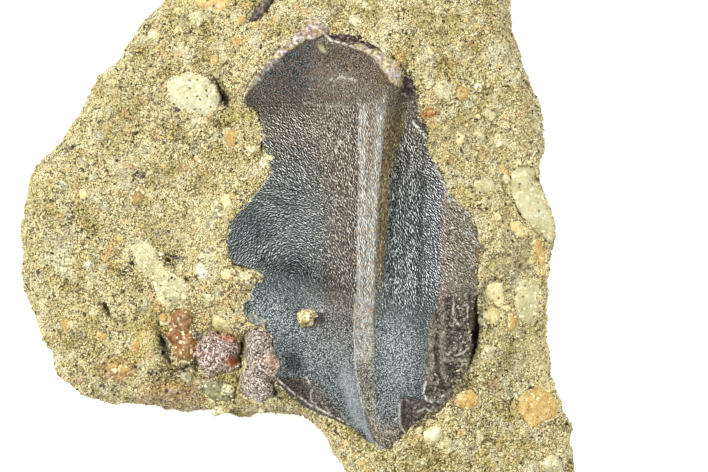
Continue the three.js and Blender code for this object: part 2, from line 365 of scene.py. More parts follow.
class Sheet:
    """A sheet of small triangles that fills an outline: a square grid, drawn onto the line at its edge."""

    def __init__(self, outline: Outline, cell: float, margin: float = 0.0) -> None:
        """Lays the grid and trims it.

        Args:
            outline: what the sheet fills.
            cell: side of a grid square.
            margin: how far the sheet reaches past the outline.
        """
        low = outline.corners.min(0) - margin - 1.5 * cell
        count = np.ceil((outline.corners.max(0) + margin + 1.5 * cell - low) / cell).astype(int)
        number = np.arange(count[0] * count[1]).reshape(count)
        steps = np.stack(np.meshgrid(*map(np.arange, count), indexing="ij"), -1)
        place = low + cell * steps.reshape(-1, 2)
        depth, foot = outline.depth(place)
        depth = depth + margin
        near = np.abs(depth) < cell / 2
        place[near] = foot[near] + margin * unit(place[near] - foot[near])
        kept = (depth > 0) | near
        corners = [number[:-1, :-1], number[1:, :-1], number[1:, 1:], number[:-1, 1:]]
        square = np.stack(corners, -1).reshape(-1, 4)
        whole = kept[square]
        slant = (np.arange(len(square)) + np.arange(len(square)) // (count[1] - 1)) % 2 == 0
        triangles = []
        for lost in range(4):
            three = np.delete(square, lost, axis=1)
            only = whole.sum(1) == 3
            triangles.append(three[only & ~whole[:, lost]])
            full = (whole.sum(1) == 4) & (slant == (lost % 2 == 0))
            triangles.append(three[full])
        faces = np.vstack(triangles)
        used, faces = np.unique(faces, return_inverse=True)
        self.places = place[used]
        self.faces = faces.reshape(-1, 3)

    def border(self) -> np.ndarray:
        """Numbers of the points along the sheet's edge, in order, counter-clockwise."""
        edges = np.vstack([self.faces[:, [0, 1]], self.faces[:, [1, 2]], self.faces[:, [2, 0]]])
        both = {(a, b) for a, b in edges.tolist()}
        following = {a: b for a, b in both if (b, a) not in both}
        start = next(iter(following))
        loop = [start]
        while following[loop[-1]] != start:
            loop.append(following[loop[-1]])
        if len(loop) != len(following):
            raise ValueError("the sheet's edge is not one simple loop")
        return np.array(loop)


# ---------------------------------------------------------------- meshes


@dataclass
class Form:
    """A triangle mesh in millimetres, with named numbers at its points, shaded soft or in flat facets."""

    points: Points
    faces: Faces
    marks: dict[str, Values] = field(default_factory=dict)
    soft: bool = True

    def normals(self) -> Points:
        """Direction out of the surface at each point."""
        a, b, c = (self.points[self.faces[:, corner]] for corner in range(3))
        facing = np.cross(b - a, c - a)
        total = np.zeros_like(self.points)
        for axis in range(3):
            for corner in range(3):
                total[:, axis] += np.bincount(self.faces[:, corner], facing[:, axis], len(self.points))
        return unit(total)

    def tree(self) -> BVHTree:
        """A lookup tree of the surface."""
        return BVHTree.FromPolygons(self.points.tolist(), self.faces.tolist())

    def joined(self, others: Sequence[Form]) -> Form:
        """One form that holds this one and others, with this one's kinds of marks."""
        forms = [self, *others]
        starts = np.cumsum([0] + [len(form.points) for form in forms[:-1]])
        faces = np.vstack([form.faces + start for form, start in zip(forms, starts)])
        marks = {name: np.concatenate([form.marks[name] for form in forms]) for name in self.marks}
        return Form(np.vstack([form.points for form in forms]), faces, marks)


def closed_below(
    face: Points,
    sheet: Sheet,
    middle: Points,
    bottom: Callable[[Points, Values], Values],
    noise: NoiseField,
    rings: Sequence[tuple[float, float]] = (
        (1.0, 0.35), (1.0, 0.8), (0.985, 1.0), (0.93, 1.0), (0.8, 1.0), (0.6, 1.0), (0.36, 1.0), (0.12, 1.0),
    ),
) -> Form:
    """Closes a face with walls and an underside.

    Args:
        face: the face's points.
        sheet: the sheet that the face was raised from.
        middle: where the underside draws together, in plan.
        bottom: gives the underside's height from places in plan and the height of the edge above them.
        noise: roughens the walls.
        rings: for each ring of the wall, its size as a share of the edge and how far down it lies.

    Returns:
        The closed form, the face's points first.
    """
    border = sheet.border()
    edge = face[border]
    upper = border
    points = [face]
    walls = []
    count = len(face)
    for share, drop in rings:
        plan = middle + (edge[:, :2] - middle) * share
        ring = np.column_stack([plan, blend(edge[:, 2], bottom(plan, edge[:, 2]), drop)])
        ring += 0.05 * noise.layered(ring, 0.6)[:, None] * [1, 1, 0]
        lower = np.arange(count, count + len(ring))
        ahead, ahead_lower = np.roll(upper, -1), np.roll(lower, -1)
        walls.append(np.stack([upper, lower, ahead_lower], -1))
        walls.append(np.stack([upper, ahead_lower, ahead], -1))
        points.append(ring)
        count += len(ring)
        upper = lower
    points.append(points[-1].mean(0)[None])
    walls.append(np.stack([upper, np.full(len(upper), count), np.roll(upper, -1)], -1))
    return Form(np.vstack(points), np.vstack([sheet.faces, *walls]))


@dataclass
class Bench:
    """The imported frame, measured in millimetres from the middle of the tooth."""

    nodes: dict[str, bpy.types.Object]
    origin: Points = field(init=False)

    def __post_init__(self) -> None:
        """Finds the middle of the tooth in plan."""
        low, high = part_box("tooth")
        self.origin = np.array([(low.x + high.x) / 2, (low.y + high.y) / 2, 0]) / MM

    def box(self, node: str) -> tuple[Points, Points]:
        """Lowest and highest corner of a node."""
        low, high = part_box(node)
        return np.array(low) / MM - self.origin, np.array(high) / MM - self.origin

    def welded(self, node: str) -> bmesh.types.BMesh:
        """A node's mesh in metres with its shared corners merged. The caller frees it."""
        mesh = bmesh.new()
        mesh.from_mesh(self.nodes[node].data)
        bmesh.ops.remove_doubles(mesh, verts=mesh.verts, dist=1e-7)
        mesh.normal_update()
        return mesh

    def form(self, mesh: bmesh.types.BMesh) -> Form:
        """A mesh in metres as a form, its faces cut into triangles. The mesh is freed."""
        bmesh.ops.triangulate(mesh, faces=mesh.faces)
        points = np.array([v.co for v in mesh.verts]) / MM - self.origin
        mesh.verts.index_update()
        faces = np.array([[v.index for v in f.verts] for f in mesh.faces])
        mesh.free()
        return Form(points, faces)

    def remeshed(self, node: str, voxel: float, rounding: int = 0) -> bmesh.types.BMesh:
        """A node rebuilt as even squares.

        Args:
            node: its name.
            voxel: side of a square, in millimetres.
            rounding: how many times its facets are smoothed first.

        Returns:
            The new mesh, in metres.
        """
        source = self.welded(node)
        mesh = bpy.data.meshes.new(node + "_draft")
        source.to_mesh(mesh)
        source.free()
        draft = bpy.data.objects.new(node + "_draft", mesh)
        bpy.context.scene.collection.objects.link(draft)
        if rounding:
            draft.modifiers.new("Rounding", "SUBSURF").levels = rounding
        remesh = draft.modifiers.new("Squares", "REMESH")
        remesh.mode = "VOXEL"
        remesh.voxel_size = voxel * MM
        done = draft.evaluated_get(bpy.context.evaluated_depsgraph_get()).to_mesh()
        result = bmesh.new()
        result.from_mesh(done)
        bpy.data.objects.remove(draft)
        bpy.data.meshes.remove(mesh)
        return result

    def place(self, name: str, form: Form, node: str | None, slot: str, finish: Finish) -> None:
        """Makes a form into a dressed piece that rides on the frame.

        Args:
            name: the piece's name.
            form: its mesh.
            node: the frame's node that it stands for, if any.
            slot: not used.
            finish: its finish.
        """
        mesh = bpy.data.meshes.new(name)
        mesh.vertices.add(len(form.points))
        mesh.vertices.foreach_set("co", ((form.points + self.origin) * MM).astype(np.float32).ravel())
        mesh.loops.add(form.faces.size)
        mesh.loops.foreach_set("vertex_index", form.faces.astype(np.int32).ravel())
        mesh.polygons.add(len(form.faces))
        mesh.polygons.foreach_set("loop_start", np.arange(0, form.faces.size, 3, dtype=np.int32))
        mesh.update(calc_edges=True)
        mesh.validate()
        if form.soft:
            mesh.shade_smooth()
        for mark, values in form.marks.items():
            attribute = mesh.attributes.new(mark, "FLOAT", "POINT")
            attribute.data.foreach_set("value", values.astype(np.float32))
        piece = bpy.data.objects.new(name, mesh)
        bpy.context.scene.collection.objects.link(piece)
        piece.data.materials.append(finish.material())
        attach(piece, BODY)
        if node:
            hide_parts(node)
        log.info("%s: %d points, %d triangles", name, len(form.points), len(form.faces))


# ---------------------------------------------------------------- finishes


Socket = bpy.types.NodeSocket
Input = Socket | float | tuple


class Recipe:
    """A material's nodes, written as calls that return sockets. Lengths are millimetres."""

    def __init__(self, name: str) -> None:
        """Starts a material with its shader and its place in the piece.

        Args:
            name: the material's name.
        """
        self.material = bpy.data.materials.new(name)
        self.material.use_nodes = True
        self._nodes = self.material.node_tree.nodes
        self._links = self.material.node_tree.links
        self.shader = self._nodes["Principled BSDF"]
        place = self._nodes.new("ShaderNodeTexCoord").outputs["Object"]
        scaled = self._node("ShaderNodeVectorMath", {0: place, "Scale": 1 / MM}, operation="SCALE")
        self.place = scaled.outputs["Vector"]

    def _node(self, kind: str, inputs: dict, **settings: object) -> bpy.types.Node:
        """Adds a node.

        Args:
            kind: its type.
            inputs: input name or number to a socket or a value.
            **settings: its own properties.

        Returns:
            The node.
        """
        node = self._nodes.new(kind)
        for key, value in settings.items():
            setattr(node, key, value)
        self._feed(node, inputs)
        return node

    def _feed(self, node: bpy.types.Node, inputs: dict) -> None:
        """Links or sets a node's inputs."""
        for key, value in inputs.items():
            if isinstance(value, Socket):
                self._links.new(value, node.inputs[key])
            else:
                node.inputs[key].default_value = value

    def mark(self, name: str) -> Socket:
        """The numbers stored at the mesh's points under a name."""
        return self._node("ShaderNodeAttribute", {}, attribute_name=name).outputs["Fac"]

    def noise(self, size: float, detail: float = 2.0, place: Input | None = None) -> Socket:
        """Soft noise from 0 to 1 with blobs of about the given size."""
        inputs = {"Vector": place or self.place, "Scale": 1 / size, "Detail": detail}
        return self._node("ShaderNodeTexNoise", inputs).outputs["Fac"]

    def cells(self, size: float, output: str = "Color", place: Input | None = None) -> Socket:
        """Cell noise: a random colour for each cell, or the distance from its middle."""
        inputs = {"Vector": place or self.place, "Scale": 1 / size}
        return self._node("ShaderNodeTexVoronoi", inputs).outputs[output]

    def seams(self, size: float, place: Input) -> Socket:
        """Distance to the nearest border between cells, in cell widths."""
        inputs = {"Vector": place, "Scale": 1 / size}
        return self._node("ShaderNodeTexVoronoi", inputs, feature="DISTANCE_TO_EDGE").outputs["Distance"]

    def bent(self, size: float, reach: float) -> Socket:
        """The place, bent by noise so that a pattern of cells turns irregular.

        Args:
            size: width of the bends.
            reach: how far a place is moved, in millimetres.

        Returns:
            The moved place.
        """
        bend = self._node("ShaderNodeTexNoise", {"Vector": self.place, "Scale": 1 / size, "Detail": 2.0})
        inputs = {0: bend.outputs["Color"], 1: (2 * reach,) * 3, 2: self.place}
        return self._node("ShaderNodeVectorMath", inputs, operation="MULTIPLY_ADD").outputs["Vector"]

    def lot(self, channel: str, size: float, place: Input | None = None) -> Socket:
        """A number drawn by lot for each cell. The channel is Red, Green or Blue, each with its own draw."""
        colour = self.cells(size, place=place)
        return self._node("ShaderNodeSeparateColor", {"Color": colour}).outputs[channel]

    def math(self, operation: str, a: Input, b: Input = 0.5) -> Socket:
        """An operation on two numbers."""
        return self._node("ShaderNodeMath", {0: a, 1: b}, operation=operation).outputs[0]

    def times(self, a: Input, b: Input) -> Socket:
        """The product of two numbers."""
        return self.math("MULTIPLY", a, b)

    def plus(self, a: Input, b: Input) -> Socket:
        """The sum of two numbers."""
        return self.math("ADD", a, b)

    def minus(self, a: Input, b: Input) -> Socket:
        """The first number less the second."""
        return self.math("SUBTRACT", a, b)

    def blended(self, share: Input, a: Input, b: Input) -> Socket:
        """Two numbers, blended by a share from 0 to 1."""
        return self._node("ShaderNodeMix", {0: share, 2: a, 3: b}, data_type="FLOAT").outputs[0]

    def rise(self, value: Input, low: float, high: float) -> Socket:
        """A straight rise from 0 at low to 1 at high."""
        inputs = {"Value": value, "From Min": low, "From Max": high}
        return self._node("ShaderNodeMapRange", inputs).outputs["Result"]

    def ramp(self, value: Input, stops: Stops) -> Socket:
        """Colours along a number.

        Args:
            value: the number, from 0 to 1.
            stops: place and colour of each stop.

        Returns:
            The colour.
        """
        node = self._node("ShaderNodeValToRGB", {0: value})
        elements = node.color_ramp.elements
        while len(elements) < len(stops):
            elements.new(1.0)
        for element, (at, colour) in zip(elements, stops):
            element.position = at
            element.color = linear(colour)
        return node.outputs["Color"]

    def mix(self, share: Input, a: Input, b: Input, how: str = "MIX") -> Socket:
        """Two colours, blended by a share from 0 to 1."""
        inputs = {0: share, 6: a, 7: b}
        return self._node("ShaderNodeMix", inputs, data_type="RGBA", blend_type=how).outputs[2]

    def moved(self, distance: float) -> Socket:
        """The place, moved aside so that a pattern doesn't repeat another."""
        return self._node("ShaderNodeVectorMath", {0: self.place, 1: (distance,) * 3}).outputs["Vector"]

    def drawn_out(self, angle: float, long: float, short: float) -> Socket:
        """Places for a pattern that is drawn out along a direction.

        Args:
            angle: the direction in plan, in degrees from +X.
            long: unit length along it.
            short: unit length across it.

        Returns:
            The place, counted in those units.
        """
        inputs = {"Vector": self.place, "Rotation": (0, 0, math.radians(angle))}
        inputs["Scale"] = (long, short, short)
        return self._node("ShaderNodeMapping", inputs, vector_type="TEXTURE").outputs["Vector"]

    def beside(self, place: Input, steps: float) -> Socket:
        """A place moved a number of units across the direction it is drawn out in."""
        return self._node("ShaderNodeVectorMath", {0: place, 1: (0, steps, 0)}).outputs["Vector"]

    def relief(self, height: Input, depth: float) -> Socket:
        """The bent normal of fine relief: a height pattern from 0 to 1, and its depth in millimetres."""
        inputs = {"Height": height, "Strength": 1.0, "Distance": depth * MM}
        return self._node("ShaderNodeBump", inputs).outputs["Normal"]

    def finish(self, **sockets: Input) -> bpy.types.Material:
        """Sets the shader and returns the material.

        Args:
            **sockets: shader input, with _ for a blank, to a socket or a value.

        Returns:
            The material.
        """
        self._feed(self.shader, {key.replace("_", " "): value for key, value in sockets.items()})
        return self.material


class Finish:
    """A finish that can make its material, once for all the pieces that share it."""

    name: str
    _made: dict[str, bpy.types.Material] = {}

    def material(self) -> bpy.types.Material:
        """The finish's material."""
        if self.name not in self._made:
            self._made[self.name] = self.mixed(Recipe(self.name))
        return self._made[self.name]

    def mixed(self, r: Recipe) -> bpy.types.Material:
        """Fills in an empty recipe and returns its material."""
        raise NotImplementedError


SAND_COLOURS: Stops = (
    (0.0, (52, 44, 32)), (0.02, (90, 78, 48)), (0.08, (164, 152, 100)), (0.24, (218, 206, 148)),
    (0.45, (236, 225, 170)), (0.65, (239, 230, 180)), (0.83, (238, 231, 187)), (0.93, (242, 237, 202)),
    (0.97, (250, 248, 234)), (0.985, (230, 198, 138)), (1.0, (212, 160, 106)),
)


JITTER: Stops = (
    (0.0, (92, 84, 72)), (0.16, (170, 163, 148)), (0.32, (248, 246, 242)), (1.0, (255, 255, 255)),
)


def sand_colour(r: Recipe, grain: float) -> Socket:
    """The colour of packed sand: grains of many tones, with painted shade in dark brown gaps between some of
    them.

    Args:
        r: the recipe.
        grain: width of a small grain.

    Returns:
        The colour.
    """
    bent = r.bent(0.35, 0.12)
    small = r.ramp(r.lot("Red", grain), SAND_COLOURS)
    large = r.ramp(r.lot("Red", 2.1 * grain, place=bent), SAND_COLOURS)
    colour = r.mix(0.5, small, large)
    jitter = r.ramp(r.lot("Green", GRIT), JITTER)
    colour = r.mix(1.0, colour, jitter, "MULTIPLY")
    # Painted shade between the grains, in broad gaps and in thin ones.
    patchy = r.plus(r.times(r.noise(0.5, 3.0), 0.9), r.times(r.noise(1.6, 2.0), 0.3))
    gaps = r.rise(r.plus(r.seams(2.1 * grain, bent), patchy), 0.63, 0.56)
    colour = r.mix(r.times(gaps, 0.85), colour, linear((68, 54, 32)))
    thin = r.plus(r.seams(1.2 * grain, r.bent(0.2, 0.07)), r.noise(0.3, 3.0, r.moved(77.0)))
    gaps = r.rise(thin, 0.5, 0.46)
    return r.mix(r.times(gaps, 0.95), colour, linear((30, 24, 16)))


@dataclass(frozen=True)
class SandFinish(Finish):
    """What loose grains and cemented sand share: broad olive, pale, pink and grey areas."""

    def areas(self, r: Recipe, colour: Input) -> Socket:
        """Lays the broad areas over a sand colour.

        Args:
            r: the recipe.
            colour: the sand's own colour.

        Returns:
            The changed colour.
        """
        olive = r.rise(r.noise(2.2, 5.0), 0.45, 0.66)
        colour = r.mix(r.times(olive, 0.9), colour, linear((218, 210, 168)), "MULTIPLY")
        pale = r.rise(r.noise(1.7, 4.0, r.moved(40.0)), 0.54, 0.64)
        colour = r.mix(r.times(pale, 0.6), colour, linear((234, 230, 196)))
        pink = r.rise(r.noise(1.2, 2.0, r.moved(90.0)), 0.62, 0.7)
        colour = r.mix(r.times(pink, 0.45), colour, linear((232, 186, 130)))
        yellow = r.rise(r.noise(0.9, 3.0, r.moved(140.0)), 0.5, 0.7)
        colour = r.mix(r.times(yellow, 0.22), colour, linear((216, 192, 104)))
        colour = r.mix(r.times(r.mark("yellow"), 0.45), colour, linear((218, 194, 92)))
        grey = r.rise(r.noise(1.5, 4.0, r.moved(190.0)), 0.6, 0.7)
        colour = r.mix(r.times(grey, 0.5), colour, linear((176, 170, 148)))
        colour = r.mix(r.times(r.mark("pale"), 0.6), colour, linear((236, 228, 182)))
        return r.mix(r.times(r.mark("rust"), 0.5), colour, linear((190, 120, 78)))


@dataclass(frozen=True)
class SandstoneFinish(SandFinish):
    """Cemented sand: a soft cream to yellow ground with fine dark specks, thicker at stains and where shade
    is painted, and painted shade in crevices.
    """

    name: str = "sandstone"
    grain: float = SAND_GRAIN
    speck: float = 0.16

    def mixed(self, r: Recipe) -> bpy.types.Material:
        """Fills in the recipe.

        Args:
            r: an empty one.

        Returns:
            The finished material.
        """
        colour = self.areas(r, sand_colour(r, self.grain))
        thick = r.plus(r.rise(r.noise(1.6, 3.0, r.moved(60.0)), 0.5, 0.8), r.mark("dark"))
        chance = r.plus(0.004, r.times(thick, 0.34))
        bent = r.bent(0.16, 0.12)
        chosen = r.math("LESS_THAN", r.lot("Blue", self.speck, place=bent), chance)
        rag = r.times(r.noise(0.1, 1.0), 2.2)
        shape = r.rise(r.plus(r.cells(self.speck, "Distance", bent), rag), 1.62, 1.45)
        colour = r.mix(r.times(chosen, shape), colour, linear((52, 44, 32)))
        colour = r.mix(r.mark("shade"), colour, linear(CREVICE_SHADE))
        height = r.plus(r.cells(self.grain, "Distance"), r.noise(self.grain * 0.5))
        return r.finish(Base_Color=colour, Roughness=0.85, Normal=r.relief(height, -0.1))


@dataclass(frozen=True)
class GrainFinish(SandFinish):
    """Sand grains that stand out, each with its own tone."""

    name: str = "sand_grains"

    def mixed(self, r: Recipe) -> bpy.types.Material:
        """Fills in the recipe.

        Args:
            r: an empty one.

        Returns:
            The finished material.
        """
        tone = r.mark("tone")
        colour = self.areas(r, r.ramp(tone, SAND_COLOURS))
        kept = r.rise(tone, 0.1, 0.06)
        colour = r.mix(kept, colour, r.ramp(tone, SAND_COLOURS))
        colour = r.mix(1.0, colour, r.ramp(r.lot("Green", GRIT), JITTER), "MULTIPLY")
        colour = r.mix(r.mark("shade"), colour, linear(CREVICE_SHADE))
        gloss = r.rise(r.noise(0.6, place=r.moved(20.0)), 0.3, 0.7)
        gloss = r.plus(0.4, r.times(gloss, 0.4))
        return r.finish(Base_Color=colour, Roughness=gloss, Normal=r.relief(r.noise(0.09), 0.04))


@dataclass(frozen=True)
class EnamelFinish(Finish):
    """Fossil enamel: steel grey to brown, with painted glints on its pale wrinkles, painted sheen and shade,
    a worn crest and a chalky broken rim.
    """

    name: str = "tooth_enamel"
    leans: tuple[float, ...] = (45.0, 15.0, -15.0, -45.0, -75.0, -105.0)
    long: float = 0.2
    short: float = 0.066
    across: float = 1.2
    glint: float = GRIT
    dot: float = 0.07
    steel: Stops = ((0.0, (6, 8, 9)), (0.3, (46, 53, 54)), (0.6, (112, 122, 122)), (1.0, (250, 254, 254)))
    brown: Stops = ((0.0, (12, 9, 6)), (0.3, (58, 49, 37)), (0.6, (126, 114, 94)), (1.0, (253, 247, 230)))
    olive: Stops = ((0.0, (44, 34, 18)), (0.4, (114, 98, 66)), (0.75, (172, 156, 112)),
        (1.0, (244, 230, 186)))
    streak: Stops = ((0.0, (104, 110, 112)), (0.5, (146, 152, 153)), (1.0, (186, 192, 192)))
    grey: Stops = ((0.1, (66, 66, 60)), (0.42, (148, 150, 142)), (0.62, (194, 195, 187)),
        (0.85, (252, 252, 246)))
    tan: Stops = ((0.1, (74, 58, 40)), (0.42, (152, 134, 108)), (0.62, (198, 182, 154)),
        (0.85, (252, 244, 226)))
    margin: Stops = ((0.1, (24, 19, 12)), (0.42, (108, 98, 78)), (0.62, (160, 149, 124)),
        (0.9, (244, 237, 216)))
    cool_margin: Stops = ((0.1, (34, 38, 36)), (0.85, (226, 232, 228)))
    flakes: Stops = ((0.0, (30, 24, 17)), (0.3, (92, 80, 62)), (0.7, (142, 132, 114)),
        (1.0, (226, 221, 206)))
    grit: Stops = ((0.0, (70, 66, 60)), (0.35, (190, 188, 184)), (1.0, (255, 255, 255)))
    strip: Stops = ((0.15, (64, 52, 43)), (0.5, (132, 116, 101)), (0.85, (224, 211, 195)))
    crust: Stops = ((0.3, (20, 13, 11)), (0.5, (56, 41, 34)), (0.6, (112, 92, 78)), (0.72, (216, 200, 190)))
    rim: Stops = ((0.3, (84, 66, 58)), (0.42, (154, 138, 128)), (0.54, (204, 198, 194)),
        (0.68, (253, 252, 250)))
    cream: Stops = ((0.3, (92, 72, 48)), (0.42, (150, 130, 96)), (0.56, (192, 178, 140)),
        (0.7, (240, 232, 206)))

    def wrinkles(self, r: Recipe) -> Socket:
        """Short fine wrinkles, drawn out along the lean that the mesh's points carry.

        Args:
            r: the recipe.

        Returns:
            Their height, around a half.
        """
        lean = r.mark("lean")
        step = abs(self.leans[1] - self.leans[0]) / 100
        total = None
        for angle in self.leans:
            off = r.math("ABSOLUTE", r.minus(lean, angle / 100))
            share = r.rise(off, step, 0.0)
            place = r.drawn_out(angle, self.long, self.short)
            fall = r.minus(r.noise(1.0, 0.0, place), r.noise(1.0, 0.0, r.beside(place, self.across)))
            part = r.times(share, fall)
            total = part if total is None else r.plus(total, part)
        return r.plus(total, 0.5)

    def glints(self, r: Recipe, height: Input) -> Socket:
        """Painted glints and shade of the wrinkles, in clumps, flatter where the enamel is worn smooth.

        Args:
            r: the recipe.
            height: the wrinkles' height.

        Returns:
            A number from 0, dark, to 1, light.
        """
        clumps = r.noise(1.0, 3.0, r.drawn_out(-88.0, 0.75, 0.3))
        lifted = r.plus(height, r.times(r.minus(clumps, 0.5), 0.1))
        spread = r.times(r.minus(r.rise(lifted, 0.2, 0.8), 0.5), r.mark("coarse"))
        points = r.times(r.minus(r.lot("Green", self.dot), 0.5), 0.16)
        dots = r.minus(r.rise(r.cells(1.5 * self.dot, "Distance"), 0.75, 0.1), 0.3)
        points = r.plus(points, r.times(dots, 0.7))
        spread = r.blended(r.mark("fine"), spread, points)
        # Painted glints: sparse bright sparks, plus the level mark's broad painted light and shade.
        sparks = r.rise(r.lot("Red", self.glint), 0.85, 1.0)
        bright = r.minus(0.25, r.times(r.mark("fine"), 0.18))
        level = r.plus(r.mark("level"), r.times(sparks, bright))
        return r.plus(r.plus(spread, 0.37), level)

    def enamel(self, r: Recipe, glint: Input) -> Socket:
        """The sound enamel: steel grey, brown towards the ridge, olive in the groove, pale on the crest.

        Args:
            r: the recipe.
            glint: light and dark of the wrinkles.

        Returns:
            The colour.
        """
        steel = r.ramp(glint, self.steel)
        brown = r.ramp(glint, self.brown)
        flecks = r.times(r.minus(r.noise(0.2, 4.0, r.moved(5.0)), 0.5), 2.8)
        flecks = r.times(flecks, r.minus(1.0, r.times(r.mark("fine"), 0.6)))
        colour = r.mix(r.plus(r.mark("brown"), flecks), steel, brown)
        mottle = r.rise(r.noise(0.7, 4.0), 0.42, 0.62)
        stain = r.times(r.mark("mottled"), r.times(mottle, 0.45))
        colour = r.mix(stain, colour, linear((94, 70, 48)))
        colour = r.mix(r.mark("groove"), colour, r.ramp(glint, self.olive))
        # Painted sheen: a pale blue-grey streak near the tip.
        colour = r.mix(r.mark("streak"), colour, r.ramp(glint, self.streak))
        fibres = r.noise(1.0, 4.0, r.drawn_out(-91.0, 0.5, 0.16))
        worn = r.plus(r.times(glint, 0.62), r.times(r.rise(fibres, 0.3, 0.7), 0.38))
        warm = r.rise(r.noise(0.35, 4.0, r.moved(14.0)), 0.46, 0.62)
        crest = r.mix(r.times(warm, 0.8), r.ramp(worn, self.grey), r.ramp(worn, self.tan))
        return r.mix(r.mark("crest"), colour, crest)

    def broken(self, r: Recipe, glint: Input, colour: Input) -> Socket:
        """Lays the broken parts over the sound enamel: the margin, its strips, the crust and the rim.

        Args:
            r: the recipe.
            glint: light and dark of the wrinkles.
            colour: the sound enamel's colour.

        Returns:
            The colour.
        """
        patches = r.rise(r.noise(0.35, 5.0), 0.3, 0.7)
        blotches = r.rise(r.noise(0.22, 4.0, r.moved(61.0)), 0.34, 0.68)
        patches = r.plus(r.times(patches, 0.5), r.times(blotches, 0.5))
        chalk = r.plus(r.times(glint, 0.58), r.times(patches, 0.42))
        cool = r.times(r.rise(r.noise(0.5, 4.0, r.moved(24.0)), 0.52, 0.64), 0.35)
        margin = r.mix(cool, r.ramp(chalk, self.margin), r.ramp(chalk, self.cool_margin))
        colour = r.mix(r.mark("margin"), colour, margin)
        bent = r.bent(0.5, 0.2)
        shattered = r.mark("shattered")
        flakes = r.ramp(r.lot("Red", 0.45, bent), self.flakes)
        colour = r.mix(r.times(shattered, 0.45), colour, flakes)
        colour = r.mix(shattered, colour, r.ramp(r.lot("Green", 0.1), self.grit), "MULTIPLY")
        glitter = r.times(r.rise(r.lot("Red", 0.11), 0.8, 0.95), shattered)
        colour = r.mix(r.times(glitter, 0.7), colour, linear((226, 221, 208)))
        cracks = r.times(r.rise(r.seams(0.45, bent), 0.09, 0.03), shattered)
        colour = r.mix(r.times(cracks, 0.75), colour, linear((26, 20, 14)))
        colour = r.mix(r.mark("strip"), colour, r.ramp(chalk, self.strip))
        colour = r.mix(r.mark("crust"), colour, r.ramp(r.noise(0.22, 5.0), self.crust))
        chips = r.plus(r.times(r.noise(0.28, 5.0), 0.8), r.times(glint, 0.2))
        creamy = r.math("MAXIMUM", r.rise(r.noise(0.6, 3.0, r.moved(33.0)), 0.44, 0.56), r.mark("cream"))
        rim = r.mix(creamy, r.ramp(chips, self.rim), r.ramp(chips, self.cream))
        return r.mix(r.mark("rim"), colour, rim)

    def mixed(self, r: Recipe) -> bpy.types.Material:
        """Fills in the recipe.

        Args:
            r: an empty one.

        Returns:
            The finished material.
        """
        height = self.wrinkles(r)
        glint = self.glints(r, height)
        waves = r.blended(r.times(r.mark("fine"), 0.75), height, 0.5)
        colour = self.broken(r, glint, self.enamel(r, glint))
        # The dark mark paints shade and shadows as well as dark fissures and the darker lower left corner.
        colour = r.mix(r.mark("dark"), colour, linear((36, 29, 27)))
        colour = r.mix(r.mark("rust"), colour, linear((102, 76, 48)))
        colour = r.mix(r.mark("green"), colour, linear((176, 180, 132)))
        gaps = r.rise(r.noise(0.26, 4.0, r.moved(9.0)), 0.38, 0.54)
        # Pale lines: cracks and edges, some of them painted highlights.
        colour = r.mix(r.times(r.mark("line"), gaps), colour, linear((222, 216, 200)))
        gloss = r.plus(0.32, r.times(r.mark("rim"), 0.35))
        gloss = r.plus(gloss, r.times(r.noise(0.2), 0.14))
        stray = r.times(r.minus(r.noise(0.3, 4.0), 0.5), 2.4)
        sandy = r.rise(r.plus(r.times(r.mark("edge"), 0.6), stray), 0.55, 0.7)
        colour = r.mix(sandy, colour, sand_colour(r, SAND_GRAIN))
        normal = r.relief(waves, 0.06)
        return r.finish(Base_Color=colour, Roughness=gloss, Specular_IOR_Level=0.22, Normal=normal)


# ---------------------------------------------------------------- the tooth


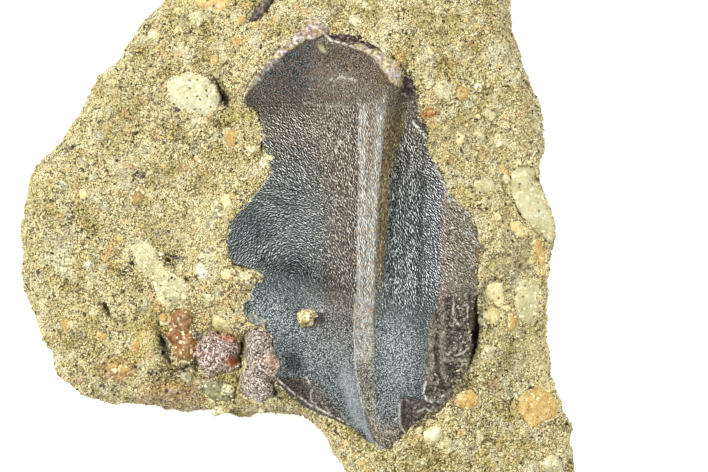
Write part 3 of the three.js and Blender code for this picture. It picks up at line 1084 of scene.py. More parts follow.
@dataclass
class Tooth:
    """The crown: a leaf shape with a ridge along it, broken at the worn end and worn smooth at the tip."""

    cell: float = 0.085
    edge_softness: float = 0.16
    edge_wander: float = 0.07
    edge_roll: float = 0.14
    margin_thickness: float = 1.3
    ridge_height: float = 1.45
    crest_lift: float = 0.3
    left_slope: float = 4.5
    right_slope: float = 1.7
    wrinkle_height: float = 0.018
    notch: tuple[float, float] = (-4.8, -3.2)
    # Height along the crown, then where the pale crest begins and ends across it.
    crest_band: tuple[tuple[float, float, float], ...] = (
        (-17.0, 1.9, 2.6), (-15.5, 1.1, 2.0), (-13.4, 0.65, 1.7), (-11.0, 0.35, 1.55), (-9.5, 0.15, 1.5),
        (-6.5, 0.1, 1.6), (0.0, 0.2, 1.8), (4.4, 0.4, 2.05), (9.9, 0.3, 2.5), (12.0, 0.2, 2.8),
    )
    # Height along the crown, then where the rough right margin begins.
    margin_line: Line = (
        (-13.2, 6.6), (-12.5, 5.4), (-9.0, 5.55), (-7.0, 5.9), (-4.0, 6.6), (0.0, 6.95), (3.0, 7.0),
    )
    # Places where the edge bulges out: east, north, reach and how far.
    bulges: tuple[tuple[float, float, float, float], ...] = (
        (1.0, 15.3, 2.2, 0.2), (-3.2, 16.4, 0.9, 0.5), (7.6, 2.9, 0.8, 0.12),
    )
    rusty: tuple[Spot, ...] = (
        Spot(5.2, -13.6, 0.9, 0.4, 5, 0.25), Spot(2.2, 12.2, 0.5, 0.6, 0, 0.35),
        Spot(9.5, -1.3, 0.3, 0.6, 0, 0.8), Spot(9.4, -3.0, 0.3, 0.5, 0, 0.7),
    )
    # Raised or sunk lines: flutes of the right face, valleys, chip edges. Strength is a height in mm.
    relief: tuple[Stroke, ...] = (
        Stroke(((4.15, 6.5), (4.0, 2.0), (3.85, -3.5)), 0.3, -0.1),
        Stroke(((5.35, 4.5), (5.15, 0.0), (5.1, -5.0)), 0.22, -0.09),
        Stroke(((4.7, 5.5), (4.55, 0.0), (4.4, -4.5)), 0.3, 0.05),
        Stroke(((3.25, 8.0), (3.15, 3.0), (2.9, -3.0)), 0.3, 0.06),
        Stroke(((6.45, -6.5), (6.3, -8.5), (6.5, -10.2), (7.0, -11.6)), 0.2, -0.16),
        Stroke(((6.0, -6.4), (5.9, -9.0), (5.8, -11.2)), 0.25, 0.1),
        Stroke(((6.85, -4.5), (6.75, -8.0), (6.9, -10.5)), 0.25, 0.1),
        Stroke(((7.2, -5.0), (7.25, -7.0), (7.15, -9.0)), 0.2, -0.15),
        Stroke(((-6.9, -2.2), (-5.3, -2.9), (-3.4, -3.5), (-2.2, -4.6)), 0.7, -0.16),
        Stroke(((7.7, -5.0), (7.6, -6.2), (8.15, -6.9), (8.7, -6.3), (8.8, -5.4)), 0.16, 0.16),
        Stroke(((7.3, -7.1), (8.2, -7.25), (8.9, -7.3)), 0.12, -0.2),
        Stroke(((7.9, -9.2), (8.8, -8.6)), 0.14, 0.14),
        Stroke(((7.2, -10.0), (8.0, -10.3), (8.7, -10.4)), 0.25, -0.2),
        Stroke(((5.5, -11.4), (5.35, -12.1), (5.6, -12.65), (6.05, -12.75)), 0.14, 0.12),
        Stroke(((3.6, -12.6), (3.5, -13.6), (3.6, -14.6), (4.1, -15.5)), 0.12, 0.12),
        Stroke(((0.85, -13.6), (1.25, -15.0), (1.8, -16.1)), 0.16, -0.14),
        Stroke(((-5.7, -11.1), (-4.7, -11.9), (-3.3, -12.8), (-1.5, -13.8)), 0.14, -0.1),
    )
    # Fine pale lines: cracks, enamel edges and bruised places, with painted highlights along the margin's
    # upper edge and painted glints on the worn facet's edges.
    pale: tuple[Stroke, ...] = (
        Stroke(((3.65, -12.6), (3.5, -13.6), (3.6, -14.6), (4.1, -15.5)), 0.085, 0.75),
        Stroke(((5.55, -11.3), (5.35, -12.1), (5.6, -12.65), (6.0, -12.75)), 0.09, 1.0),
        Stroke(((-5.9, -11.0), (-4.9, -11.95), (-3.3, -13.0), (-1.4, -13.95), (-0.4, -14.6)), 0.0765, 0.75),
        Stroke(((-3.7, -10.9), (-3.4, -11.35)), 0.098, 0.6),
        Stroke(((-3.1, -11.7), (-3.4, -12.2), (-3.3, -12.7), (-2.9, -13.0)), 0.068, 0.55),
        Stroke(((-2.5, -12.8), (-2.1, -13.3), (-1.8, -13.7)), 0.0595, 0.5),
        Stroke(((-1.0, -13.7), (-0.4, -14.4)), 0.068, 0.4),
        Stroke(((4.6, 8.75), (4.95, 8.3), (5.55, 7.6)), 0.12, 1.0),
        Stroke(((6.3, 5.3), (6.8, 4.4), (7.2, 3.3)), 0.21, 0.4),
        Stroke(((7.3, 2.75), (7.75, 2.75), (8.2, 2.5), (8.65, 2.0), (9.2, 1.3)), 0.15, 0.85),
        Stroke(((-6.3, 4.95), (-7.0, 4.0), (-7.9, 2.9), (-8.9, 1.9)), 0.051, 0.85), Stroke(((0.05, -4.5),
        (0.0, -7.0), (0.1, -10.0), (0.55, -12.6), (0.8, -14.0)), 0.0595, 0.6),
        Stroke(((-1.8, 12.05), (-0.9, 12.25), (0.1, 11.95)), 0.15, 0.4),
        Stroke(((-3.9, 10.2), (-2.2, 10.0), (-0.3, 9.9)), 0.105, 0.22),
        Stroke(((-7.4, -1.3), (-5.6, 0.2), (-4.6, 0.95)), 0.0595, 0.45),
        Stroke(((7.7, -5.1), (7.6, -6.2), (8.15, -6.9), (8.7, -6.3), (8.8, -5.4)), 0.09, 0.7),
        Stroke(((7.9, -9.2), (8.4, -9.0), (8.85, -8.6)), 0.09, 0.8),
        Stroke(((7.3, -9.7), (8.1, -9.5), (8.7, -9.7)), 0.12, 0.5),
        Stroke(((4.9, -13.55), (5.5, -13.3), (6.0, -13.5)), 0.085, 0.55),
        Stroke(((1.9, -13.6), (1.95, -14.6)), 0.085, 0.4), Stroke(((2.5, -15.1), (3.3, -15.2)), 0.098, 0.45),
        Stroke(((3.1, -14.2), (3.35, -14.0)), 0.0765, 0.8),
        Stroke(((-7.95, -4.35), (-7.75, -4.9)), 0.105, 0.5),
        Stroke(((-2.55, -5.4), (-2.45, -5.9)), 0.068, 0.8),
    )
    # Dark lines: painted shade in grooves and on the shadow side of edges, and the dark fissures of the
    # broken margin.
    dark: tuple[Stroke, ...] = (
        Stroke(((4.15, 6.5), (4.0, 2.0), (3.85, -3.5)), 0.28, 0.4),
        Stroke(((5.35, 4.5), (5.15, 0.0), (5.1, -5.0)), 0.2, 0.5),
        Stroke(((6.4, -7.5), (6.3, -9.0), (6.5, -10.5), (7.1, -11.8)), 0.18, 0.6),
        Stroke(((5.7, -11.45), (6.5, -11.6), (7.0, -11.9)), 0.1, 0.6),
        Stroke(((7.2, -4.8), (7.3, -6.5), (7.4, -8.6)), 0.22, 0.5),
        Stroke(((7.3, -7.1), (8.2, -7.2), (8.9, -7.3)), 0.1, 0.8),
        Stroke(((7.2, -10.0), (8.0, -10.3), (8.7, -10.4)), 0.24, 0.7),
        Stroke(((9.0, -4.6), (8.9, -5.5), (8.95, -7.0)), 0.14, 0.8),
        Stroke(((0.85, -13.6), (1.25, -15.0), (1.8, -16.1)), 0.14, 0.5),
        Stroke(((-5.6, -11.4), (-4.4, -12.25), (-3.0, -13.1), (-1.4, -14.0)), 0.1, 0.6),
        Stroke(((-7.0, -2.0), (-6.0, -2.3), (-5.0, -2.6)), 0.5, 0.35),
        Stroke(((9.2, 1.0), (9.75, -0.8), (9.6, -2.2)), 0.1, 0.3),
        Stroke(((5.0, 8.75), (5.35, 8.4), (5.7, 8.0)), 0.3, 0.7),
    )
    # Broad painted shade and painted light on the face: darker and lighter areas where light falls
    # differently.
    dims: tuple[Spot, ...] = (
        Spot(-5.0, 12.6, 4.0, 2.8, 25, 0.1), Spot(-8.2, 10.8, 1.5, 1.5, 0, 0.12),
        Spot(4.3, 2.5, 6.5, 1.3, 92, 0.14), Spot(-8.6, 0.3, 1.8, 1.8, 0, 0.1),
        Spot(-4.6, -9.8, 0.9, 0.7, -40, 0.25), Spot(-3.8, -2.9, 3.4, 0.9, -18, 0.13),
        Spot(-8.3, -5.4, 0.6, 0.6, 0, 0.12), Spot(3.0, 7.6, 2.6, 0.7, 80, 0.12),
        Spot(-4.8, -11.6, 1.6, 0.9, -35, 0.16),
    )
    glows: tuple[Spot, ...] = (
        Spot(3.4, -8.6, 4.5, 1.7, 92, 0.17), Spot(-6.4, -6.0, 2.4, 1.3, -30, 0.14),
        Spot(-1.2, 7.6, 2.6, 1.2, 80, 0.05), Spot(-4.5, 0.6, 2.2, 1.2, 15, 0.04),
        Spot(7.8, -3.3, 1.3, 0.6, 90, 0.1), Spot(-2.6, -9.0, 3.0, 2.4, 60, 0.07),
        Spot(2.4, -15.0, 1.4, 1.1, 0, 0.12), Spot(4.6, -0.6, 4.5, 1.6, 90, 0.05),
        Spot(2.9, -12.2, 2.6, 1.5, 60, 0.12), Spot(-4.9, -7.5, 1.4, 0.9, 0, 0.1),
        Spot(7.9, -7.2, 1.0, 0.8, 0, 0.08), Spot(-8.6, -1.0, 1.0, 2.2, 0, 0.06),
        Spot(-2.3, -5.6, 1.6, 1.0, 30, 0.05), Spot(9.0, 0.2, 3.4, 0.7, 100, 0.12),
        Spot(6.9, -9.0, 3.0, 0.8, 90, 0.08), Spot(-3.5, 8.6, 3.0, 1.2, 0, 0.05),
    )
    # Places in a loose grain's shadow.
    shadows: tuple[Spot, ...] = (Spot(-2.62, -6.4, 0.5, 0.42, 90, 1.0), Spot(-3.1, -6.9, 0.5, 0.25, 20, 0.5))
    # The worn end, from left to right: the borders of its pale patches, and the line under its crust.
    patch_inner: Line = (
        (-0.3, 14.8), (0.4, 14.3), (1.3, 13.8), (1.9, 13.2), (2.3, 12.6), (2.8, 11.8), (3.4, 11.4),
    )
    patch_outer: Line = (
        (-2.4, 16.0), (-1.9, 15.4), (-1.4, 15.1), (0.2, 14.9), (1.0, 14.55), (1.9, 14.2), (2.4, 13.9),
        (4.0, 13.2),
    )
    crust_line: Line = ((-2.2, 15.5), (-1.75, 15.05), (-0.6, 14.8), (0.4, 14.4))
    seed: int = 11

    def outline(self, bench: Bench) -> Outline:
        """The crown's outline in plan, from the frame's, with natural small wanderings.

        Args:
            bench: the frame.

        Returns:
            The outline.
        """
        mesh = bench.welded("tooth")
        rim = {}
        for edge in mesh.edges:
            up = [f for f in edge.link_faces if f.normal.z > 0.2]
            wall = [f for f in edge.link_faces if abs(f.normal.z) < 0.2]
            if up and wall:
                loop = next(l for l in up[0].loops if l.edge == edge)
                rim[loop.vert] = loop.link_loop_next.vert
        start = next(iter(rim))
        loop = [start]
        while rim[loop[-1]] != start:
            loop.append(rim[loop[-1]])
        corners = np.array([v.co for v in loop])[:, :2] / MM - bench.origin[:2]
        mesh.free()
        smooth = Outline.evenly(corners, self.cell, self.edge_softness)
        wander = NoiseField(self.seed).layered(level_with(smooth.corners), 1.1, 3)
        x, y = smooth.corners[:, 0], smooth.corners[:, 1]
        broken = ease(9.5, 11.5, y) + ease(5, 8, x)
        shift = self.edge_wander * wander * (1 + np.clip(broken, 0, 1))
        for east, north, reach, out in self.bulges:
            shift += out * bump(np.hypot(x - east, y - north), reach)
        shift += 0.35 * bump(np.hypot(x - 5.5, y - 8.5), 0.8)
        shift += 0.45 * bump(np.hypot(x + 3.9, y + 12.6), 2.2)
        shift += 0.22 * bump(np.hypot(x - 8.7, y + 8.2), 2.4) + 0.35 * bump(np.hypot(x - 6.8, y + 13.0), 1.2)
        return Outline(smooth.corners + smooth.outwards() * shift[:, None])

    def band(self, y: Values) -> tuple[Values, Values]:
        """Middle and half width of the crest at each height along the crown."""
        along, left, right = np.array(self.crest_band).T
        low, high = np.interp(y, along, left), np.interp(y, along, right)
        return (low + high) / 2, (high - low) / 2

    def flow(self, x: Values, y: Values) -> Values:
        """Direction of the enamel's wrinkles: along the ridge, fanned out beside it, curled at the notch.

        Args:
            x: place across the crown.
            y: place along it.

        Returns:
            The direction at each place, in degrees from +X.
        """
        round_notch = np.degrees(np.arctan2(y - self.notch[1], x - self.notch[0])) - 90
        curl = ease(-1.5, -4.0, x) * ease(5.0, 2.0, y) * ease(-4.5, -2.5, y)
        left = -72 + 22 * ease(-0.5, -4.0, x)
        left = blend(left, np.clip(round_notch, -75, 45), curl)
        right = -88 + 34 * ease(2.5, 6.5, x)
        return np.where(x < self.band(y)[0], left, right)

    def wrinkles(self, points: Points) -> Values:
        """Fine wrinkles, drawn out along the flow.

        Args:
            points: places on the crown.

        Returns:
            The wrinkles' height, from about -1 to 1, with an even spread.
        """
        step = 0.05
        low = points[:, :2].min(0) - 1
        count = np.ceil((points[:, :2].max(0) + 1 - low) / step).astype(int)
        grid = np.stack(np.meshgrid(*map(np.arange, count), indexing="ij"), -1).astype(float)
        salt = np.random.default_rng(self.seed).normal(size=count)
        salt = sum(np.roll(salt, shift, (0, 1)) for shift in ((0, 0), (1, 0), (0, 1), (1, 1)))
        place = low + grid * step
        angle = np.radians(self.flow(place[..., 0], place[..., 1]))
        direction = np.stack([np.cos(angle), np.sin(angle)], -1)

        def read(picture: np.ndarray, at: np.ndarray) -> np.ndarray:
            """Value of a grid between its points."""
            at = np.clip(at, 0, np.array(count) - 1.001)
            base = at.astype(int)
            part = at - base
            i, j = base[..., 0], base[..., 1]
            u, v = part[..., 0], part[..., 1]
            near = picture[i, j] * (1 - u) + picture[i + 1, j] * u
            far = picture[i, j + 1] * (1 - u) + picture[i + 1, j + 1] * u
            return near * (1 - v) + far * v

        drawn = salt.copy()
        for way in (-1, 1):
            at = grid.copy()
            for number in range(1, 7):
                at += way * direction
                drawn += read(salt, at) * bump(np.array(number), 4.0)
        drawn /= drawn.std()
        return np.clip(read(drawn, (points[:, :2] - low) / step), -2.2, 2.2) / 2.2

    def rims(self, points: Points, fray: Values) -> tuple[Values, Values, Values, Values]:
        """The broken worn end: its chalky rim and cream side, its dark crust, and the pale line below.

        Args:
            points: places on the crown.
            fray: what frays the borders.

        Returns:
            The share of each.
        """
        x, y = points[:, 0], points[:, 1]
        upper_left = ((-8.6, 11.0), (-7.3, 12.7), (-6.3, 13.9), (-5.0, 15.2), (-3.8, 16.2), (-2.8, 16.3))
        left = from_line(points, upper_left)
        width = 0.5 + 0.35 * ease(13.0, 15.6, y) - 0.15 * ease(12.2, 11.0, y)
        rim = ease(width + 0.2, width - 0.05, left + 1.3 * fray) * ease(10.5, 11.2, y)
        rim *= 0.55 + 0.45 * ease(13.3, 13.9, y + fray)
        rim = np.maximum(rim, ease(1.0, 0.8, np.hypot((x + 3.4) / 1.25, y - 16.0) + 1.5 * fray))
        inner = y - np.interp(x, *np.array(self.patch_inner).T)
        outer = y - np.interp(x, *np.array(self.patch_outer).T)
        patches = ease(-0.08, 0.12, inner + 1.4 * fray) * ease(0.1, -0.1, outer + 1.4 * fray)
        patches *= ease(-0.2, 0.3, x) * ease(3.9, 3.5, x + fray)
        crust = ease(-0.1, 0.1, outer + 1.4 * fray) * ease(-2.4, -2.1, x + fray)
        crust = np.maximum(crust, ease(3.3, 3.7, x + 2 * fray) * ease(10.2, 11.2, y + 2 * fray))
        pale_line = ease(0.13, 0.05, from_line(points, self.crust_line) + 0.25 * fray)
        cream = ease(0.45, 0.2, inner + fray) * patches
        return np.clip(rim + patches, 0, 1), crust, pale_line, cream

    def zones(self, points: Points, noise: NoiseField) -> dict[str, Values]:
        """How strongly each kind of surface shows at each point.

        Args:
            points: places on the crown.
            noise: the noise that frays the borders.

        Returns:
            A share from 0 to 1 for each kind.
        """
        x, y = points[:, 0], points[:, 1]
        fray = 0.18 * noise.layered(points, 0.9, 4)
        drift = np.column_stack([fray, 0.18 * noise.layered(points + 7, 0.9), np.zeros(len(x))])
        drawn = points + 0.5 * drift
        middle, half = self.band(y)
        side = x - middle
        right = side - half
        crest = ease(-0.06, 0.1, half - np.abs(side) + 0.7 * fray) * ease(11.4, 8.6, y + 8 * fray)
        core = bump(side, 0.34) * ease(2.0, 6.0, y)
        core += 0.5 * bump(side + 0.1, 0.3) * ease(2.0, -1.0, y) * ease(-8, -3, y)
        groove_width = 0.4 + 0.25 * ease(-6, 2, y) + 0.85 * ease(4, 9, y)
        groove = ease(-0.05, 0.1, right + 0.3 * fray)
        groove *= ease(groove_width + 0.3, groove_width - 0.2, right + fray)
        groove *= ease(-6.5, -1, y) * ease(10.8, 8.2, y + 3 * fray)
        tan = 0.85 * bump(side, 0.3) * ease(2.5, 6.0, y) * ease(10.8, 9.8, y)
        edge = ease(0.15, 0.06, np.abs(right + 0.02) + 0.4 * fray)
        edge *= ease(-0.02, 0.03, fray) * ease(-11, -9, y)
        tan = np.clip(np.maximum(tan, 0.9 * edge * ease(9.5, 8.0, y)), 0, 1)
        along, border = np.array(self.margin_line).T
        from_margin = x - np.interp(y, along, border)
        margin = ease(-0.1, 0.15, from_margin + 0.7 * fray) * ease(3.4, 2.8, y) * ease(-13.0, -12.4, y)
        strip = ease(0.26, 0.1, np.abs(from_margin + 0.05) + 0.8 * fray) * ease(4.4, 3.4, y)
        outer = from_line(drawn, ((6.9, -3.8), (6.8, -8.0), (6.9, -10.8)))
        strip = np.maximum(strip * ease(-2.5, -1.5, y), ease(0.3, 0.15, outer))
        inner = from_line(drawn, ((6.05, -6.3), (5.95, -9.0), (5.85, -11.3)))
        strip = np.maximum(strip, ease(0.32, 0.15, inner))
        rim, crust, line, cream = self.rims(points, fray)
        chipped = ease(3.5, 3.7, x + 0.3 * fray) * ease(-12.5, -12.8, y + 0.25 * (x - 5) + fray)
        tip = ease(1.0, 1.5, x + fray) * ease(-13.6, -15.0, y + fray)
        low_left = ease(-1.2, -2.6, x + 0.9 * (y + 12.5)) * ease(-10.6, -11.1, y + fray)
        lower_crest = ease(-0.1, 0.15, half - np.abs(side) + 1.2 * fray) * ease(-8.3, -10.0, y + fray)
        smooth = 0.42 * ease(-4, -9, y) * ease(5.6, 4.6, x) + 0.12 * ease(-7, -8.5, x)
        # A pale blue-grey band left of the ridge near the tip: painted sheen.
        streak = ease(0.95, 0.15, np.abs(x + 0.45 + 0.22 * (y + 11)) + 0.5 * fray)
        streak *= ease(-8.8, -11.5, y) * ease(-15.2, -14.4, y)
        blade = ease(0.3, 0.15, from_line(points, ((0.8, -14.3), (1.35, -15.8), (2.1, -16.5))))
        faded = 1 - 0.25 * ease(-3, -8, y)
        lost = 1 - 0.85 * ease(-8.8, -10.5, y)
        # Painted shade in grooves and at edges and the painted shadow of a loose grain, with dark fissures
        # and the darker lower left corner.
        dark = strokes(drawn, self.dark) + 0.35 * low_left + spots(points, self.shadows)
        fine = 0.88 * ease(-3.5, -6.5, y + 0.25 * x) * ease(6.2, 5.2, x)
        fine += 0.8 * ease(8.8, 12.2, y + 4 * fray - 0.1 * x + 2.4 * ease(2.2, 3.4, x))
        brown = 0.75 * ease(-4.5, -0.6, x) * ease(0.9, 0.3, x) * ease(-12, -4, y)
        brown += 0.9 * ease(1, 10, y) * (1 - 0.75 * ease(-0.5, -4.5, x) * ease(9.5, 12, y))
        mottled = ease(10.0, 11.0, y + 2 * fray) + 0.6 * bump(side + half + 0.9, 1.0) * ease(-5, 0, y)
        coarse = 1.0 - smooth + 0.3 * ease(2.2, 3.2, x) * ease(-6, -3, y)
        # Painted light and shade: the level mark lightens and darkens the enamel in broad areas.
        level = 0.02 * ease(-3.5, -6.5, y) + spots(points, self.glows) - spots(points, self.dims)
        level += 0.05 * noise.layered(points + 9, 2.2) + 0.05 * lower_crest
        level -= 0.05 * ease(-3.5, -6.5, y) + 0.06 * margin * ease(-6.0, -3.0, y)
        return {
            "crest": crest * (1 - 0.5 * core) * faded * lost,
            "groove": groove,
            "margin": margin * 0.9,
            "strip": np.maximum((0.75 - 0.2 * ease(-4, -6, y)) * strip * ease(-12.0, -11.0, y), tan),
            "rim": rim,
            "cream": cream,
            "crust": np.clip(np.maximum(crust, 0.7 * chipped), 0, 1),
            "line": np.clip(strokes(drawn, self.pale) + 0.8 * line, 0, 1),
            "dark": np.clip(dark, 0, 0.93),
            "rust": np.clip(spots(points, self.rusty), 0, 1),
            "green": spots(drawn, (Spot(-2.45, 14.4, 0.45, 0.18, -45, 0.7),)),
            "streak": np.clip(0.75 * streak + 0.8 * blade, 0, 1),
            "fine": np.clip(fine + low_left, 0, 1),
            "brown": np.clip(brown + 0.7 * lower_crest + 0.8 * tip + 0.8 * low_left, 0, 1),
            "mottled": np.clip(mottled, 0, 1),
            "coarse": coarse - 0.12 * ease(6, 1, y) * ease(2, 0, x),
            "shattered": margin * ease(-3.5, -5.0, y),
            "level": level,
        }

    def height(self, points: Points, depth: Values, zones: dict[str, Values], noise: NoiseField,
            top: float) -> Values:
        """Height of the crown's face.

        Args:
            points: places on the crown.
            depth: how deep each lies inside the outline.
            zones: the kinds of surface there.
            noise: the noise that roughens it.
            top: height of the ridge's highest point.

        Returns:
            The height of each point.
        """
        x, y = points[:, 0], points[:, 1]
        middle, half = self.band(y)
        side = x - middle
        fade = (1 - 0.75 * ease(10, 15.5, y)) * (1 - 0.5 * ease(-12, -17, y))
        out = np.maximum(0, np.abs(side) - 0.85 * half)
        slope = np.where(side < 0, self.left_slope, self.right_slope + 2.6 * ease(0, -9, y))
        ridge = self.ridge_height * fade * (1 - ease(0, 1, out / slope))
        bar = self.crest_lift * (1 - ease(0.7, 1.15, np.abs(side) / np.maximum(half, 0.2)))
        bar *= ease(11.0, 9.6, y)
        bar *= 1 - 0.8 * ease(-5, -9, y)
        bar -= 0.1 * bump(side, 0.3) * ease(2, 6, y) * ease(11.0, 9.6, y)
        z = top - self.ridge_height - self.crest_lift + ridge + bar
        z -= 0.45 * bump(x + 4.6, 2.6) * bump(y + 2, 12)
        z -= 0.25 * bump(side - half - 1.2, 1.1) * fade * ease(-9, -2, y)
        z += 0.55 * bump(x - 8.0 + 0.012 * y * y, 1.0) * ease(-14, -10, y) * ease(5, 2, y)
        z -= 0.8 * ease(12.5, 16.6, y) + 0.6 * ease(-13, -16.8, y)
        z += 0.12 * noise.layered(points, 3.2)
        z += 0.3 * zones["rim"] - 0.35 * zones["crust"] + 0.05 * zones["line"] - 0.08 * zones["dark"]
        for stroke in self.relief:
            z += stroke.strength * bump(from_line(points, stroke.line), stroke.width)
        z -= 0.35 * bump(np.hypot(x + 8.3, y + 5.4), 0.75)
        shattered = zones["margin"] * ease(-3.0, -5.0, y)
        rough = 0.02 + 0.14 * zones["crust"] + 0.1 * zones["rim"] + 0.04 * zones["margin"] + 0.18 * shattered
        z += rough * noise.layered(points, 0.5)
        near, gap = noise.cells(points, 0.9)
        z += shattered * (0.25 * (0.6 - near) - 0.15 * bump(gap, 0.08))
        roll = np.clip(1 - depth / self.edge_roll, 0, 1)
        return z - self.edge_roll * (1 - np.sqrt(1 - roll**2 * 0.99))

    def build(self, bench: Bench, outline: Outline) -> Form:
        """Makes the crown.

        Args:
            bench: the frame.
            outline: the crown's outline.

        Returns:
            The closed crown, with its zones as marks.
        """
        noise = NoiseField(self.seed + 1)
        sheet = Sheet(outline, self.cell)
        flat = level_with(sheet.places)
        depth = np.maximum(outline.depth(flat)[0], 0)
        zones = self.zones(flat, noise)
        wrinkles = self.wrinkles(flat)
        top = bench.box("tooth")[1][2]
        smoothness = 1 - 0.7 * np.clip(zones["crust"] + zones["rim"] + zones["streak"] + zones["fine"], 0, 1)
        z = self.height(flat, depth, zones, noise, top)
        z += self.wrinkle_height * wrinkles * smoothness * ease(0, 0.3, depth)
        face = np.column_stack([sheet.places, z])
        under = BVHTree.FromBMesh(bench.welded("tooth"))
        bottom = partial(self.underside, bench, under)
        form = closed_below(face, sheet, np.array([0.6, 0.0]), bottom, noise)
        ragged = np.clip(ease(1.5, 3.5, flat[:, 0]) * ease(-13.5, -12.5, flat[:, 1]) + 0.3, 0, 1)
        inside = 1 - 0.5 * ragged * ease(0.3, 0.0, depth + 0.12 * noise.layered(flat, 0.5))
        x, y = flat[:, 0], flat[:, 1]
        clear = ease(-7.5, -10.5, y) * ease(2.0, 0.0, x) + 0.4 * ease(-6, -8, x) * ease(3, 1, y)
        edge = ease(0.2, 0.06, depth) * (1 - np.clip(clear, 0, 1))
        edge *= 1 - ease(4.0, 5.5, x) * ease(-4.0, -5.0, y)
        marks = {"lean": self.flow(x, y) / 100, "inside": inside, "edge": edge, **zones}
        border = sheet.border()
        wall = border[np.arange(len(form.points) - len(face)) % len(border)]
        form.marks = {name: np.concatenate([values, values[wall]]) for name, values in marks.items()}
        return form

    def underside(self, bench: Bench, under: BVHTree, plan: Points, edge: Values) -> Values:
        """Height of the frame's hidden side, or of the margin's lower edge where that is past it.

        Args:
            bench: the frame.
            under: the frame's tooth.
            plan: places in plan.
            edge: height of the crown's edge at each.

        Returns:
            The height at each place.
        """
        heights = edge - self.margin_thickness
        for number, (x, y) in enumerate(plan):
            start = Vector(((x + bench.origin[0]) * MM, (y + bench.origin[1]) * MM, 0))
            hit = under.ray_cast(start, Vector((0, 0, 1)))[0]
            if hit is not None:
                heights[number] = min(heights[number], hit.z / MM)
        return heights


# ---------------------------------------------------------------- pebbles


@dataclass(frozen=True)
class StoneFinish(Finish):
    """A stone of one kind: mottled, grainy or smooth, with specks of another mineral."""

    name: str
    mottles: Stops
    patch: float = 1.2
    grain: float = 0.2
    grain_share: float = 0.3
    grain_colours: Stops = SAND_COLOURS
    speck: Colour = (60, 52, 42)
    speck_size: float = 0.26
    speck_share: float = 0.06
    roughness: float = 0.75
    depth: float = 0.03
    second: Colour = (214, 198, 140)
    ragged: float = 1.5
    fine: float = 0.35

    def mixed(self, r: Recipe) -> bpy.types.Material:
        """Fills in the recipe.

        Args:
            r: an empty one.

        Returns:
            The finished material.
        """
        colour = r.ramp(r.rise(r.noise(self.patch, 4.0), 0.28, 0.72), self.mottles)
        grains = r.ramp(r.lot("Red", self.grain), self.grain_colours)
        shown = r.math("LESS_THAN", r.lot("Green", self.grain), self.grain_share)
        colour = r.mix(shown, colour, grains)
        low, high = 1 - self.fine, 1 + 0.7 * self.fine
        jitter = r.mix(r.lot("Green", GRIT), (low, low, low, 1), (high, high, high, 1))
        colour = r.mix(1.0, colour, jitter, "MULTIPLY")
        colour = r.mix(r.mark("second"), colour, linear(self.second))
        chance = r.math("LESS_THAN", r.lot("Blue", self.speck_size), self.speck_share)
        shape = r.rise(r.plus(r.cells(self.speck_size, "Distance"), r.noise(0.07)), 0.98, 0.82)
        colour = r.mix(r.times(chance, shape), colour, linear(self.speck))
        stray = r.times(r.minus(r.noise(0.45, 5.0), 0.5), self.ragged)
        bared = r.rise(r.plus(r.mark("inside"), stray), 0.5, 0.36)
        colour = r.mix(bared, colour, sand_colour(r, SAND_GRAIN))
        colour = r.mix(r.mark("shade"), colour, linear(CREVICE_SHADE))
        height = r.plus(r.cells(self.grain, "Distance"), r.noise(self.grain))
        normal = r.relief(height, -1.6 * self.depth)
        return r.finish(Base_Color=colour, Roughness=self.roughness, Normal=normal)


SPECKLED_CREAM = StoneFinish(
    "speckled_cream_stone", ((0.0, (184, 178, 138)), (0.45, (207, 201, 163)), (1.0, (222, 218, 190))),
    ragged=0.9, patch=0.8, grain_share=0.2, speck=(84, 78, 60), speck_size=0.24, speck_share=0.06, fine=0.2,
)
PALE_MUDSTONE = StoneFinish(
    "pale_mudstone", ((0.0, (172, 167, 126)), (0.45, (201, 194, 150)), (1.0, (222, 216, 178))), patch=1.1,
    grain_share=0.25, ragged=0.9, speck=(118, 112, 84), speck_share=0.08,
)
GREY_MUDSTONE = replace(
    PALE_MUDSTONE, name="grey_mudstone", mottles=((0.0, (167, 161, 116)), (0.45, (191, 184, 140)),
    (1.0, (207, 201, 162))), grain_share=0.12, speck_share=0.05, fine=0.2, ragged=0.7,
)
RED_CHERT = StoneFinish(
    "red_chert", ((0.0, (108, 62, 30)), (0.35, (146, 98, 54)), (0.6, (168, 126, 80)), (0.8, (184, 152, 118)),
    (1.0, (218, 194, 162))), patch=0.5, grain_share=0.16, speck_share=0.05, roughness=0.5, depth=0.03,
    fine=0.4, second=(140, 98, 72), ragged=0.5,
)
RUSTY_IRONSTONE = StoneFinish(
    "rusty_ironstone", ((0.0, (96, 56, 38)), (0.4, (158, 118, 90)), (0.7, (196, 168, 138)),
    (1.0, (226, 210, 186))), patch=0.45, grain=0.12, grain_share=0.75, grain_colours=((0.0, (14, 9, 8)),
    (0.2, (96, 66, 54)), (0.4, (176, 144, 124)), (0.65, (214, 192, 176)), (1.0, (255, 252, 250))),
    roughness=0.5, depth=0.04, second=(176, 96, 44), ragged=0.5, fine=0.75,
)
PURPLE_IRONSTONE = StoneFinish(
    "purple_ironstone", ((0.0, (98, 82, 76)), (0.4, (158, 140, 124)), (0.7, (192, 178, 160)),
    (1.0, (220, 210, 190))), patch=0.5, grain=0.12, grain_share=0.75, grain_colours=((0.0, (16, 12, 12)),
    (0.22, (92, 76, 70)), (0.45, (174, 158, 144)), (0.75, (216, 203, 184)), (1.0, (255, 253, 246))),
    roughness=0.5, depth=0.04, second=(186, 140, 104), ragged=0.5, fine=0.75,
)
ORANGE_SANDSTONE = StoneFinish(
    "orange_sandstone", ((0.0, (176, 140, 74)), (0.5, (196, 165, 98)), (1.0, (210, 187, 130))), patch=0.6,
    grain_share=0.06, speck=(150, 112, 66), speck_share=0.06, ragged=0.35,
)
BRIGHT_ORANGE = replace(
    ORANGE_SANDSTONE, name="bright_orange_sandstone", mottles=((0.0, (198, 158, 84)), (0.5, (215, 180, 108)),
    (1.0, (228, 202, 140))), speck_share=0.02,
)
